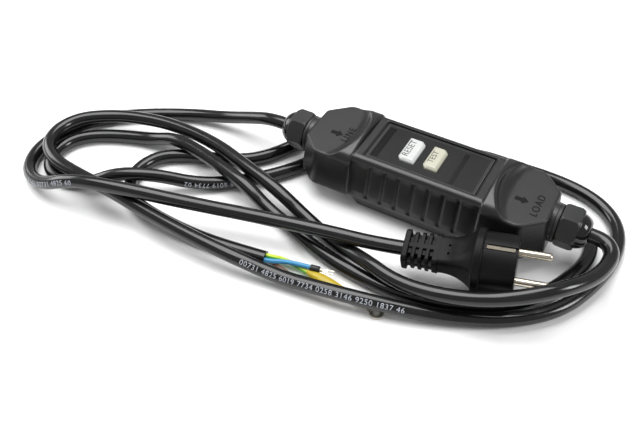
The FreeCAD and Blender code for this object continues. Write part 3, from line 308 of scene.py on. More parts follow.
SPRING = brushed("spring_steel", (0.62, 0.62, 0.63), 0.22, (3, 3, 9))
COPPER = brushed("winding_copper", (0.60, 0.25, 0.10), 0.3, (5, 5, 1))
BLUE = surface("core_blue", (0.04, 0.24, 0.45), 0.4, grain=0.5, depth=0.01, spread=0.1)
BROWN = surface("core_brown", (0.12, 0.045, 0.02), 0.4, grain=0.5, depth=0.01)
YELLOW = surface("sleeve_yellow", (0.42, 0.31, 0.008), 0.36, grain=0.6, depth=0.015, spread=0.12, patch=5.0)
SLEEVE = surface("sleeve_black", (0.012, 0.012, 0.013), 0.5, grain=0.4, depth=0.02)
BOARD = surface("board_green", (0.012, 0.10, 0.035), 0.35, grain=0.4, depth=0.01)
SWITCH = surface("switch_black", (0.02, 0.02, 0.022), 0.4)
FERRITE = surface("ferrite_dark", (0.06, 0.06, 0.065), 0.6, grain=0.3, depth=0.05)
RELAY = surface("relay_case", (0.03, 0.04, 0.07), 0.3)
TERMINAL = surface("terminal_grey", (0.42, 0.43, 0.43), 0.42)


def striped(name, first, second):
    """Two-colour core insulation, split along its length by the around attribute."""
    material = surface(name, first, 0.38, grain=0.5, depth=0.01, spread=0.08)
    tree = material.node_tree
    shader = tree.nodes["Principled BSDF"]
    mask = tree.nodes.new("ShaderNodeAttribute")
    mask.attribute_name = "around"
    share = ranged(tree, mask.outputs["Fac"], 0, 1, 0.46, 0.54)
    base = shader.inputs["Base Color"].links[0].from_socket
    tree.links.new(mixed(tree, share, base, second), shader.inputs["Base Color"])
    return material


GREEN_YELLOW = striped("core_green_yellow", (0.50, 0.62, 0.03), (0.10, 0.42, 0.05))


# ---- meshes

def new_object(name, points, faces, material, smooth=40.0):
    """A mesh object from points in millimetres, smooth except at sharp edges."""
    mesh = bpy.data.meshes.new(name)
    mesh.from_pydata((np.asarray(points, float) * MM).tolist(), [], [tuple(f) for f in faces])
    mesh.update()
    mesh.polygons.foreach_set("use_smooth", [True] * len(mesh.polygons))
    mesh.set_sharp_from_angle(angle=math.radians(smooth))
    mesh.materials.append(material)
    made = bpy.data.objects.new(name, mesh)
    bpy.context.scene.collection.objects.link(made)
    return made


def settle(piece, body=HOUSING, nodes=()):
    """Put a finished piece on its body, in place of CAD nodes."""
    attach(piece, body)
    if nodes:
        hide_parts(*nodes)
    return piece


def mark(piece, name, values):
    """Store a number per vertex for the piece's material."""
    layer = piece.data.attributes.new(name, "FLOAT", "POINT")
    layer.data.foreach_set("value", np.asarray(values, np.float32))


def points_of(piece):
    """The piece's vertices in millimetres."""
    flat = np.empty(len(piece.data.vertices) * 3, np.float32)
    piece.data.vertices.foreach_get("co", flat)
    return flat.reshape(-1, 3) / MM


def gradient(field, points, reach=0.02):
    """Unit normals of a distance field."""
    total = np.zeros_like(points)
    for way in ((1, -1, -1), (-1, -1, 1), (-1, 1, -1), (1, 1, 1)):
        total += field(points + np.array(way) * reach)[:, None] * np.array(way)
    return total / np.maximum(np.linalg.norm(total, axis=1), 1e-12)[:, None]


def contour(field, low, high, step):
    """Dual contouring of a distance field: vertices and outward quads with crisp edges."""
    axes = [np.arange(a, b + step, step) for a, b in zip(low, high)]
    shape = [len(a) for a in axes]
    grid = np.empty(shape)
    y, z = np.meshgrid(axes[1], axes[2], indexing="ij")
    for i, x in enumerate(axes[0]):
        grid[i] = field(np.stack([np.full(y.size, x), y.ravel(), z.ravel()], 1)).reshape(y.shape)
    inside = grid < 0
    origin = np.array([a[0] for a in axes])
    weights = np.array([shape[1] * shape[2], shape[2], 1])
    cells, spots, quads = [], [], []
    for axis in range(3):
        ahead = [slice(None)] * 3
        behind = [slice(None)] * 3
        ahead[axis] = slice(1, None)
        behind[axis] = slice(0, -1)
        index = np.argwhere(inside[tuple(behind)] != inside[tuple(ahead)])
        unit = np.eye(3, dtype=int)[axis]
        first = grid[tuple(index.T)]
        second = grid[tuple((index + unit).T)]
        spot = origin + step * (index + unit * (first / (first - second))[:, None])
        others = [np.eye(3, dtype=int)[(axis + k) % 3] for k in (1, 2)]
        ring = [index - others[0] - others[1], index - others[1], index, index - others[0]]
        corner = np.stack([c @ weights for c in ring], 1)
        flip = ~inside[tuple(index.T)]
        corner[flip] = corner[flip][:, ::-1]
        cells.append(corner)
        spots.append(spot)
        quads.append(corner)
    cells = np.concatenate(cells)
    spots = np.concatenate(spots)
    normals = gradient(field, spots)
    used, slot_of = np.unique(cells.ravel(), return_inverse=True)
    count = len(used)
    spread = np.repeat(np.arange(len(spots)), 4)
    share = np.bincount(slot_of, minlength=count)
    centre = np.stack([np.bincount(slot_of, spots[spread, k], count) for k in range(3)], 1) / share[:, None]
    matrix = np.empty((count, 3, 3))
    right = np.empty((count, 3))
    lean = (normals * spots).sum(1)
    for a in range(3):
        right[:, a] = np.bincount(slot_of, (normals[:, a] * lean)[spread], count)
        for b in range(3):
            matrix[:, a, b] = np.bincount(slot_of, (normals[:, a] * normals[:, b])[spread], count)
    right -= np.einsum("nab,nb->na", matrix, centre)
    matrix += np.eye(3) * 0.08
    moved = np.linalg.solve(matrix, right[:, :, None])[:, :, 0]
    moved = np.clip(moved, -0.75 * step, 0.75 * step)
    return centre + moved, slot_of.reshape(-1, 4)


def turned(points, place):
    """Points moved by a matrix, where there is one."""
    if place is None:
        return points
    turn = np.array(place)
    return points @ turn[:3, :3].T + turn[:3, 3]


def field_object(name, field, low, high, step, material, place=None):
    """A closed mesh of a distance field given in millimetres."""
    points, faces = contour(field, low, high, step)
    return new_object(name, turned(points, place), faces, material)


def meet(a, b, radius):
    """Where both fields are inside, with the edge rounded."""
    u = np.maximum(a + radius, 0)
    v = np.maximum(b + radius, 0)
    return np.minimum(-radius, np.maximum(a, b)) + np.sqrt(u * u + v * v)


def join(a, b, radius):
    """Where either field is inside, with the corner filled."""
    return -meet(-a, -b, radius)


def slope(a, b, point_a, point_b, along, up):
    """Distance outside a sloped line from one point to another of a section."""
    return ((a - point_a) * up - (b - point_b) * along) / math.hypot(along, up)


def block(p, low, high):
    """Distance to an upright block."""
    centre = (np.array(low) + np.array(high)) / 2
    half = (np.array(high) - np.array(low)) / 2
    q = np.abs(p - centre) - half
    return np.maximum(np.maximum(q[:, 0], q[:, 1]), q[:, 2])


# ---- housing

# Sections of the middle and of the two ends, from the parting line up
MIDDLE_FOOT_Y = 28
MIDDLE_END_X = 44
RAIL_TOP_Z = 42.3
RAIL_RISE = 29.3
RAIL_LEAN = 4.9
END_FOOT_Y = 29.5
END_RISE = 28
END_LEAN = 2.9
END_TAPER = (33, 3.5)
COLLAR_X = 42
COLLAR_CHAMFER = 1.8
ARCH_RADIUS = 82.0
CLIP_CORNER = (71.5, 22.5)
CLIP_OUT = math.radians(43)
CLIP_TILT = math.radians(8)
ROUNDING = {"rail": 3.2, "shoulder": 5.0, "collar": 0.7, "chamfer": 0.6, "clip": 2.2, "end": 1.8, "plate": 1.5,
            "root": 0.8}

# Scoops, which run down from the collars' crests and out into the end plates
PLATE_Z = 38.4
SCOOP_END = 54.6
SCOOP_RUN = 8.5
SCOOP_BOW = 0.0105
SCOOP_DROP = CREST_Z - PLATE_Z
SCOOP_RADIUS = (SCOOP_RUN ** 2 + SCOOP_DROP ** 2) / (2 * SCOOP_DROP)

# Grip grooves and the ribs between them
GROOVE_PITCH = 10
GROOVES_EACH_WAY = 3
GROOVE_RADIUS = 1.2
GROOVE_OUT = 0.5
GROOVE_Z = (15.6, 37.4)
RIB_HEIGHT = 0.4
RIB_END_X = 40.5
RIB_Z = (13.6, 39.5)
RIB_FADE = (4, 3.5)

# Recess of the panel, and the shell's inside
POCKET_HALF = (36.65, 18.65)
POCKET_FLOOR_Z = 39.6
PASSAGE_X = (36, 50)
PASSAGE_Y = 27
UPPER_POST_RADIUS = 3.9
UPPER_POST_Z = 22
SCREW_BORE_RADIUS = 1.5
SCREW_BORE_Z = (21, 35)
COLLAR_SEAT_RADIUS = 12.3
COLLAR_SEAT_X = 80.5
GLAND_BORE_RADIUS = 10.05
GLAND_BORE_X = 73

# Foot of the lower shell
FOOT_HALF = (43.5, 27.4)
FOOT_TAPER = (3.5, 5.9)
FLANGE_TOP_Z = 14.6
RIM_GAP = 0.2
FLOOR_WALL = 2.4
MOUTH_HALF = (41.1, 23.8)
LOWER_POST_RADIUS = 4.4
LOWER_POST_Z = (1.2, 20.4)
SCREW_HOLE_RADIUS = 1.65
HEAD_HOLE_RADIUS = 2.95
HEAD_SEAT_Z = 4.0

# Sand texture
SAND_START_X = 54.5
SAND_FADE = 2.5
SAND_EVERYWHERE = 0.25
SAND_LOWER = 0.3

# Buttons
CAP_TOP_Z = 43.3
CAP_CHAMFER = 1.5
CAP_CLIP = 2.6
CAP_GAP = 0.4
KEEPER_Z = (35.6, 36.8)
KEEPER_GROW = 1.1
STEM_RADIUS = 1.6
STEM_FOOT_Z = 29.7
OPENING_FOOT_Z = 36


def groove_depth(x, y, z):
    """How far a point is inside the nearest grip groove."""
    wall = MIDDLE_FOOT_Y - RAIL_LEAN * (z - PARTING_Z) / RAIL_RISE
    near = np.clip(np.round(x / GROOVE_PITCH), -GROOVES_EACH_WAY, GROOVES_EACH_WAY) * GROOVE_PITCH
    over = np.maximum(np.maximum(GROOVE_Z[0] - z, z - GROOVE_Z[1]), 0)
    return GROOVE_RADIUS - np.sqrt((x - near) ** 2 + (y - wall - GROOVE_OUT) ** 2 + over ** 2)


def rib_swell(x, z):
    """How far the ribs between the grooves bulge out."""
    share = np.clip((z - RIB_Z[0]) / RIB_FADE[0], 0, 1) * np.clip((RIB_Z[1] - z) / RIB_FADE[1], 0, 1)
    share = share * np.clip(RIB_END_X - x, 0, 1)
    return RIB_HEIGHT * share * np.abs(np.sin(math.pi * x / GROOVE_PITCH)) ** 0.8


def housing_outer(p):
    """Outside of the housing above the parting line, without its grooves and pocket."""
    x, y, z = np.abs(p[:, 0]), np.abs(p[:, 1]), p[:, 2]
    middle = slope(y, z, MIDDLE_FOOT_Y, PARTING_Z, -RAIL_LEAN, RAIL_RISE)
    middle = meet(middle, z - RAIL_TOP_Z, ROUNDING["rail"])
    middle = np.maximum(middle, x - MIDDLE_END_X)
    side = slope(y, z, END_FOOT_Y, PARTING_Z, -END_LEAN, END_RISE)
    arch = np.hypot(y, z - (CREST_Z - ARCH_RADIUS)) - ARCH_RADIUS
    hump = meet(side, arch, ROUNDING["shoulder"])
    hump = meet(hump, COLLAR_X - x, ROUNDING["collar"])
    hump = meet(hump, (hump + COLLAR_X - x + COLLAR_CHAMFER) / math.sqrt(2), ROUNDING["chamfer"])
    flat = math.cos(CLIP_TILT)
    clip = (math.sin(CLIP_OUT) * flat, math.cos(CLIP_OUT) * flat, math.sin(CLIP_TILT))
    corner = (x - CLIP_CORNER[0]) * clip[0] + (y - CLIP_CORNER[1]) * clip[1] + (z - PANEL_Z) * clip[2]
    end = ((x - HALF_LENGTH) * END_TAPER[0] + (z - PARTING_Z) * END_TAPER[1]) / math.hypot(*END_TAPER)
    hump = meet(meet(hump, corner, ROUNDING["clip"]), end, ROUNDING["end"])
    past = x - SCOOP_END - SCOOP_BOW * y ** 2
    scoop = SCOOP_RADIUS - np.hypot(past, z - PLATE_Z - SCOOP_RADIUS)
    top = np.where(past > 0, z - PLATE_Z, scoop)
    hump = meet(hump, top, ROUNDING["plate"])
    return join(middle, hump, ROUNDING["root"])


def pocket(p):
    """The recess of the panel, with its sloped ends."""
    x, y, z = np.abs(p[:, 0]), np.abs(p[:, 1]), p[:, 2]
    recess = np.maximum(x - POCKET_HALF[0], POCKET_FLOOR_Z - z)
    ramp = (x - POCKET_HALF[0] - (z - PANEL_Z)) / math.sqrt(2)
    ramp = np.maximum(ramp, PANEL_Z - z)
    return meet(y - POCKET_HALF[1], np.minimum(recess, ramp), 0.25)


def button_plan(p, which, grow):
    """Distance to a button's outline with its two clipped corners."""
    x0, length, width = BUTTONS[which]
    x, y = p[:, 0] - x0, p[:, 1]
    plan = meet(np.abs(x) - length / 2 - grow, np.abs(y) - width / 2 - grow, 0.5)
    reach = (length + width) / 2 - CAP_CLIP + 2 * grow * (1 - math.sqrt(0.5))
    clip = (np.maximum(-x - y, x + y) - reach) / math.sqrt(2)
    return meet(plan, clip, 0.4)


def gland_hole(p, radius):
    """Distance to a cylinder on the axis of both glands."""
    return np.hypot(p[:, 1], p[:, 2] - GLAND_Z) - radius


def passage(p, inside, wall):
    """The inside of the housing, carried on where the middle and the ends meet."""
    x, y, z = np.abs(p[:, 0]), p[:, 1], p[:, 2]
    low = (PASSAGE_X[0], wall - PASSAGE_Y, 10)
    way = block(np.stack([x, y, z], 1), low, (PASSAGE_X[1], PASSAGE_Y - wall, PLATE_Z - WALL))
    lean = np.abs(y) + wall - PASSAGE_Y + RAIL_LEAN * (z - PARTING_Z) / RAIL_RISE
    return np.minimum(inside, np.maximum(way, lean))


def upper_field(p):
    """The upper shell."""
    x, y, z = np.abs(p[:, 0]), np.abs(p[:, 1]), p[:, 2]
    outer = housing_outer(p)
    near_post = np.hypot(x - SCREW_X, y - SCREW_Y)
    hollow = np.maximum(np.maximum(passage(p, outer + WALL, WALL), LEDGE_Z - z), z - ROOF_Z)
    hollow = np.maximum(hollow, np.minimum(UPPER_POST_RADIUS - near_post, z - UPPER_POST_Z))
    hollow = np.minimum(hollow, np.maximum(passage(p, outer + RIM, RIM), z - LEDGE_Z))
    bore = np.maximum(SCREW_BORE_Z[0] - z, z - SCREW_BORE_Z[1])
    hollow = np.minimum(hollow, np.maximum(near_post - SCREW_BORE_RADIUS, bore))
    seat = np.maximum(x - HALF_LENGTH, np.maximum(COLLAR_SEAT_X - x, LEDGE_Z - z))
    seat = np.maximum(gland_hole(p, COLLAR_SEAT_RADIUS), seat)
    shell = meet(outer - rib_swell(x, z), groove_depth(x, y, z), 0.45)
    shell = meet(np.minimum(shell, seat), PARTING_Z - z, 0.3)
    shell = meet(shell, -pocket(p), 0.3)
    shell = np.maximum(shell, -hollow)
    shell = np.maximum(shell, -np.maximum(gland_hole(p, GLAND_BORE_RADIUS), GLAND_BORE_X - x))
    for which in BUTTONS:
        shell = np.maximum(shell, -np.maximum(button_plan(p, which, CAP_GAP), OPENING_FOOT_Z - z))
    return shell


def belly(p, inset=0.0):
    """Tapered foot below the parting line."""
    x, y, z = np.abs(p[:, 0]), np.abs(p[:, 1]), p[:, 2]
    side = slope(y, z, FOOT_HALF[1], PARTING_Z, FOOT_TAPER[1], PARTING_Z) + inset
    end = slope(x, z, FOOT_HALF[0], PARTING_Z, FOOT_TAPER[0], PARTING_Z) + inset
    form = meet(side, end, 2.6)
    return meet(form, inset - z, 1.6)


def lower_field(p):
    """The lower shell: foot, flange in the upper rim, screw posts and sunk screw holes."""
    x, y, z = np.abs(p[:, 0]), np.abs(p[:, 1]), p[:, 2]
    foot = np.maximum(belly(p), z - PARTING_Z)
    inside = passage(p, housing_outer(p) + RIM + RIM_GAP, RIM + RIM_GAP)
    flange = np.maximum(inside, np.maximum(z - FLANGE_TOP_Z, PARTING_Z - 0.3 - z))
    shell = np.minimum(foot, flange)
    hollow = np.maximum(belly(p, FLOOR_WALL), z - PARTING_Z)
    half = MOUTH_HALF
    mouth = block(np.stack([x, y, z], 1), (-half[0], -half[1], 12), (half[0], half[1], 15))
    shell = np.maximum(shell, -np.minimum(hollow, mouth))
    near_post = np.hypot(x - SCREW_X, y - SCREW_Y)
    post = np.maximum(LOWER_POST_Z[0] - z, z - LOWER_POST_Z[1])
    shell = np.minimum(shell, np.maximum(near_post - LOWER_POST_RADIUS, post))
    shell = np.maximum(shell, SCREW_HOLE_RADIUS - near_post)
    return np.maximum(shell, -np.maximum(near_post - HEAD_HOLE_RADIUS, z - HEAD_SEAT_Z))


def button_field(which):
    """Field of a button: chamfered cap, keeper flange and stem."""
    x0, length, width = BUTTONS[which]

    def field(p):
        z = p[:, 2]
        plan = button_plan(p, which, 0.0)
        top = z - CAP_TOP_Z
        cap = meet(meet(plan, top, 0.35), (plan + top + CAP_CHAMFER) / math.sqrt(2), 0.35)
        cap = np.maximum(cap, KEEPER_Z[0] - z)
        half = (length / 2 + KEEPER_GROW, width / 2 + KEEPER_GROW)
        keeper = block(p, (x0 - half[0], -half[1], KEEPER_Z[0]), (x0 + half[0], half[1], KEEPER_Z[1]))
        stem = np.maximum(STEM_FOOT_Z - z, z - OPENING_FOOT_Z)
        stem = np.maximum(np.hypot(p[:, 0] - x0, p[:, 1]) - STEM_RADIUS, stem)
        return np.minimum(np.minimum(cap, keeper), stem)

    return field


def sanded(points):
    """How much of the sand texture a point of the upper shell has, most of it on the end plates."""
    x, z = np.abs(points[:, 0]), points[:, 2]
    plate = np.clip((x - SAND_START_X) / SAND_FADE, 0, 1) * np.clip((z - PLATE_Z + 0.6) / 0.5, 0, 1)
    return np.clip(plate + SAND_EVERYWHERE, 0, 1)


def make_housing():
    """Both shells and the buttons."""
    upper = field_object("upper_housing", upper_field, (-86, -31, 12), (86, 31, 47.5), 0.8, SHELL)
    mark(upper, "sand", sanded(points_of(upper)))
    settle(upper, HOUSING, ["upper_shell"])
    lower = field_object("lower_housing", lower_field, (-85.07, -30.07, -1.13), (85, 30, 21.6), 0.87, SHELL)
    mark(lower, "sand", np.full(len(lower.data.vertices), SAND_LOWER))
    settle(lower, HOUSING, ["lower_shell"])
    for which, material, slot in (("reset", RESET, "reset_white"), ("test", TEST, "test_cream")):
        x0, length, width = BUTTONS[which]
        reach = (length / 2 + 2, width / 2 + 2)
        low, high = (x0 - reach[0], -reach[1], 28.8), (x0 + reach[0], reach[1], 44.2)
        cap = field_object(which + "_cap", button_field(which), low, high, 0.42, material)
        settle(cap, which + "_button", [which + "_button"])


# ---- words, arrows and lines on the box

WORD_SIZE = 6.4
WORD_RAISE = 0.3
WORD_LAY_Z = PLATE_Z + 0.02
WELD = 0.004
ARROW = [(-4.2, -1.5), (0.4, -1.5), (0.4, -3.2), (4.2, 0), (0.4, 3.2), (0.4, 1.5), (-4.2, 1.5)]
ARROW_Y = -4.4
ARROWS = {"line_arrow": -63.7, "load_arrow": 62.0}
LINE_FOOT_Z = 40.95
LABEL_X = (18.4, 21.4)
LABEL_Y = (-15.6, 14.6)


def letters(name, text, x, y, z, size, material, depth=0.06, spread=1.0, squeeze=1.0, bold=0.0):
    """A word that reads along +Y from near to far, lying flat at a height."""
    data = bpy.data.curves.new(name, "FONT")
    data.body = text
    data.align_x = "CENTER"
    data.align_y = "CENTER"
    data.size = size * MM
    data.space_character = spread
    data.extrude = depth / 2 * MM
    data.offset = bold * MM
    text_object = bpy.data.objects.new(name + "_text", data)
    bpy.context.scene.collection.objects.link(text_object)
    mesh = bpy.data.meshes.new_from_object(text_object.evaluated_get(bpy.context.evaluated_depsgraph_get()))
    bpy.data.objects.remove(text_object)
    turn = Matrix.Translation(Vector((x, y, z)) * MM) @ Matrix.Rotation(math.pi / 2, 4, "Z")
    mesh.transform(turn @ Matrix.Diagonal((1, squeeze, 1, 1)))
    form = bmesh.new()
    form.from_mesh(mesh)
    bmesh.ops.remove_doubles(form, verts=form.verts[:], dist=WELD * MM)
    bmesh.ops.dissolve_degenerate(form, edges=form.edges[:], dist=WELD * MM)
    form.to_mesh(mesh)
    form.free()
    mesh.materials.clear()
    mesh.materials.append(material)
    word = bpy.data.objects.new(name, mesh)
    bpy.context.scene.collection.objects.link(word)
    return word


def sliced(word, cuts, bend=None):
    """A flat word cut across X at each place, so that it can be bent, and then bent."""
    form = bmesh.new()
    form.from_mesh(word.data)
    for cut in cuts:
        whole = form.verts[:] + form.edges[:] + form.faces[:]
        bmesh.ops.bisect_plane(form, geom=whole, plane_co=(cut * MM, 0, 0), plane_no=(1, 0, 0))
    for vertex in form.verts if bend else ():
        vertex.co.z += bend(vertex.co.x / MM, vertex.co.y / MM) * MM
    form.to_mesh(word.data)
    form.free()
    return word


def scoop_rise(x, y):
    """How high the LINE end's scoop stands above the end plate."""
    into = max(0.0, SCOOP_END + SCOOP_BOW * y ** 2 + x)
    return SCOOP_RADIUS - math.sqrt(SCOOP_RADIUS ** 2 - into ** 2)


def flat_piece(name, outline, z0, z1, material):
    """A thin plate with an outline of plan points."""
    count = len(outline)
    points = [(x, y, z0) for x, y in outline] + [(x, y, z1) for x, y in outline]
    faces = [tuple(reversed(range(count))), tuple(range(count, 2 * count))]
    faces += [(i, (i + 1) % count, count + (i + 1) % count, count + i) for i in range(count)]
    return new_object(name, points, faces, material, smooth=20)


def frame_line(name, half_x, half_y, width, z0, z1, material):
    """A thin raised rectangular line."""
    points, faces = [], []
    for z in (z0, z1):
        for shrink in (0, width):
            points += [(sx * (half_x - shrink), sy * (half_y - shrink), z)
                       for sx, sy in ((-1, -1), (1, -1), (1, 1), (-1, 1))]
    for i in range(4):
        j = (i + 1) % 4
        faces += [(i, j, 8 + j, 8 + i), (8 + i, 8 + j, 12 + j, 12 + i)]
        faces += [(12 + i, 12 + j, 4 + j, 4 + i), (4 + i, 4 + j, j, i)]
    return new_object(name, points, faces, material, smooth=20)


def make_marks():
    """Generic words, arrows and lines on the box."""
    for which, text, back, y, size, squeeze in (
            ("reset", "RESET", 1.7, -0.1, 6.1, 0.97), ("test", "TEST", 1.4, -0.3, 5.4, 0.95)):
        x = BUTTONS[which][0] - back
        word = letters(which + "_word", text, x, y, CAP_TOP_Z, size, INK, squeeze=squeeze)
        settle(word, which + "_button")
    raised = {"depth": WORD_RAISE, "spread": 1.2, "bold": 0.05}
    line = letters("line_word", "LINE", -56.2, -2.4, WORD_LAY_Z, WORD_SIZE, EMBOSS, **raised)
    cuts = -np.arange(SCOOP_END - SCOOP_RUN, SCOOP_END + 1.5, 0.5)
    settle(sliced(line, cuts, scoop_rise))
    settle(letters("load_word", "LOAD", 72.2, -4.8, WORD_LAY_Z, WORD_SIZE, EMBOSS, **raised))
    for name, x in ARROWS.items():
        outline = [(x + a, ARROW_Y + b) for a, b in ARROW]
        settle(flat_piece(name, outline, PLATE_Z - 0.1, PLATE_Z + 0.17, EMBOSS))
    settle(frame_line("panel_rim", 36.3, 18.3, 0.45, LINE_FOOT_Z, 41.12, LINE_GREY))
    settle(frame_line("panel_line", 35.2, 17.2, 0.3, LINE_FOOT_Z, 41.07, LINE_GREY))
    (left, right), (near, far) = LABEL_X, LABEL_Y
    outline = [(left, near), (right, near), (right, far), (left, far)]
    settle(flat_piece("panel_label", outline, LINE_FOOT_Z, 41.06, LABEL))


# ---- glands

GLAND_RADIUS = 9.6
THREAD_DEPTH = 0.3
THREAD_PITCH = 1.5
GLAND_X = (74, 101)
GLAND_INNER_RADIUS = 6.5
GLAND_COLLAR_RADIUS = 12.3
GLAND_COLLAR_X = 85.15
GLAND_COLLAR_HALF = 1.15
FINGER_X = 93
FINGER_TAPER = (2.3, 8)
FINGER_SLOT = 0.5
FINGER_RADIUS = 9.9
NUT_ACROSS_HALF = 12
NUT_X = 92.6
NUT_HALF = 6
NUT_SHOULDERS = ((13.1, 97.6, 1), (13.3, 87.3, -1))
NUT_SHOULDER_SLOPE = (0.8, 0.6)
DOME_X = 97.4
DOME_END = 105
DOME_RADIUS = 11.2
DOME_FLATTEN = 1.35
NUT_BORE_RADIUS = 10.1
NUT_BORE_END = 101.2
MOUTH_RADIUS = 4.85
GLOSS_START = 98.0
GLOSS_FADE = 1.2


def gland_body_field(p):
    """Threaded gland body with its collar and slotted fingers."""
    x, radius = p[:, 0], gland_hole(p, 0.0)
    thread = radius - GLAND_RADIUS - THREAD_DEPTH * np.cos(2 * math.pi * x / THREAD_PITCH)
    cone = (x - FINGER_X) * FINGER_TAPER[0] + (radius - FINGER_RADIUS) * FINGER_TAPER[1]
    cone = cone / math.hypot(*FINGER_TAPER)
    outer = np.maximum(np.maximum(thread, cone), np.maximum(GLAND_X[0] - x, x - GLAND_X[1]))
    collar = meet(radius - GLAND_COLLAR_RADIUS, np.abs(x - GLAND_COLLAR_X) - GLAND_COLLAR_HALF, 0.5)
    body = np.maximum(np.minimum(outer, collar), GLAND_INNER_RADIUS - radius)
    turn = np.arctan2(p[:, 2] - GLAND_Z, p[:, 1])
    near = np.abs(((turn - math.pi / 2) / (math.pi / 3) + 0.5) % 1 - 0.5) * math.pi / 3
    return np.maximum(body, -np.maximum(radius * near - FINGER_SLOT, FINGER_X - x))


def gland_nut_field(p):
    """Hexagonal nut with a chamfered shoulder, a domed front and a rolled mouth."""
    x, y, z = p[:, 0], p[:, 1], p[:, 2] - GLAND_Z
    radius = np.hypot(y, z)
    hexagon = np.abs(z)
    for angle in (30, 150):
        a = math.radians(angle)
        hexagon = np.maximum(hexagon, np.abs(y * math.cos(a) + z * math.sin(a)))
    hexagon = hexagon - NUT_ACROSS_HALF
    body = meet(hexagon, np.abs(x - NUT_X) - NUT_HALF, 0.5)
    for edge, place, way in NUT_SHOULDERS:
        shoulder = (radius - edge) * NUT_SHOULDER_SLOPE[0] + way * (x - place) * NUT_SHOULDER_SLOPE[1]
        body = meet(body, shoulder, 0.4)
    dome = np.sqrt(np.maximum(x - DOME_X, 0) ** 2 * DOME_FLATTEN + radius ** 2) - DOME_RADIUS
    dome = np.maximum(dome, 97 - x)
    dome = meet(dome, x - DOME_END, 1.0)
    form = join(body, dome, 0.5)
    cone = (x - FINGER_X) * FINGER_TAPER[0] + (radius - NUT_BORE_RADIUS) * FINGER_TAPER[1]
    cone = cone / math.hypot(*FINGER_TAPER)
    hollow = np.maximum(np.maximum(radius - NUT_BORE_RADIUS, cone), x - NUT_BORE_END)
    form = np.maximum(form, -hollow)
    return meet(form, MOUTH_RADIUS - radius, 0.7)


def make_glands():
    """The gland body and nut at both ends, the LINE end's a mirror image of the LOAD end's."""
    shapes = {
        "gland_body": contour(gland_body_field, (73.1, -13.65, 12.35), (102.5, 13.5, 39.5), 0.41),
        "gland_nut": contour(gland_nut_field, (85.6, -15, 11), (106.2, 15, 41), 0.42)}
    for end, way in (("load", 1), ("line", -1)):
        for part, (points, faces) in shapes.items():
            paint = NUT if part == "gland_nut" else GLAND
            piece = new_object(f"{end}_{part}_shaped", points * (way, 1, 1), faces[:, ::way], paint)
            if part == "gland_nut":
                mark(piece, "gloss", np.clip((points[:, 0] - GLOSS_START) / GLOSS_FADE, 0, 1))
            settle(piece, HOUSING, [f"{end}_{part}"])


# ---- plug, in its own frame

FLANGE_RADIUS = 19.5
FLANGE_MIDDLE = -21.5
FLANGE_HALF = 2.5
CREASE = (-24.2, 19.9, 0.9)
SLEEVE_RADIUS = 18
SLEEVE_BORE = 15.75
SLEEVE_START = -20
SLEEVE_FLOOR = -17
GRIP_HALF = (10.5, 7)
GRIP_SWELL = (7.8, 11.3)
GRIP_CORNER = (4, 14.2)
GRIP_END = -21
WAIST_PLACE = (-40, 26)
WAIST_RADIUS = 16.6
STRIP_GROOVE = (1.8, 16.75, -17.65)
DIMPLES = (-38.6, 2.6, 0.75)
RELIEF_HALF = (9.75, 6.25)
RELIEF_GROW = 0.75
RELIEF_HEAD = (3.4, 0.9)
SLOT_FIRST = 4.55
SLOT_PITCH = 4.2
SLOT_HALF = 1.05
SLOT_FLOOR = 5.2
BAR_HALF = 1.7
CARRIER_RADIUS = 15.6
CARRIER_HALF = 8.5
CARRIER_DITCH = (13.9, 0.5, -0.8)
PIN_SPREAD = 9.5
PIN_HOLE = (2.1, -14)
PIN_RING = (3.7, 0.36, -0.5)
EARTH_HOLE = (10, 2.5, -15)
STRIP_MIDDLE = -9.5
STRIP_HALF = (8, 1.2)
STRIP_PLACE = (17.2, 0.6)
PIN_PROFILE = [(-14, 0), (-14, 2.0), (0, 2.0), (0, 2.4), (17.2, 2.4), (17.7, 2.3), (18.3, 1.95), (18.75, 1.45),
               (19, 0.8), (19, 0)]


def rounded_box(y, z, half_y, half_z, corner):
    """Distance in a section to a rectangle with rounded corners."""
    u = np.abs(y) - half_y + corner
    v = np.abs(z) - half_z + corner
    return np.hypot(np.maximum(u, 0), np.maximum(v, 0)) + np.minimum(np.maximum(u, v), 0) - corner


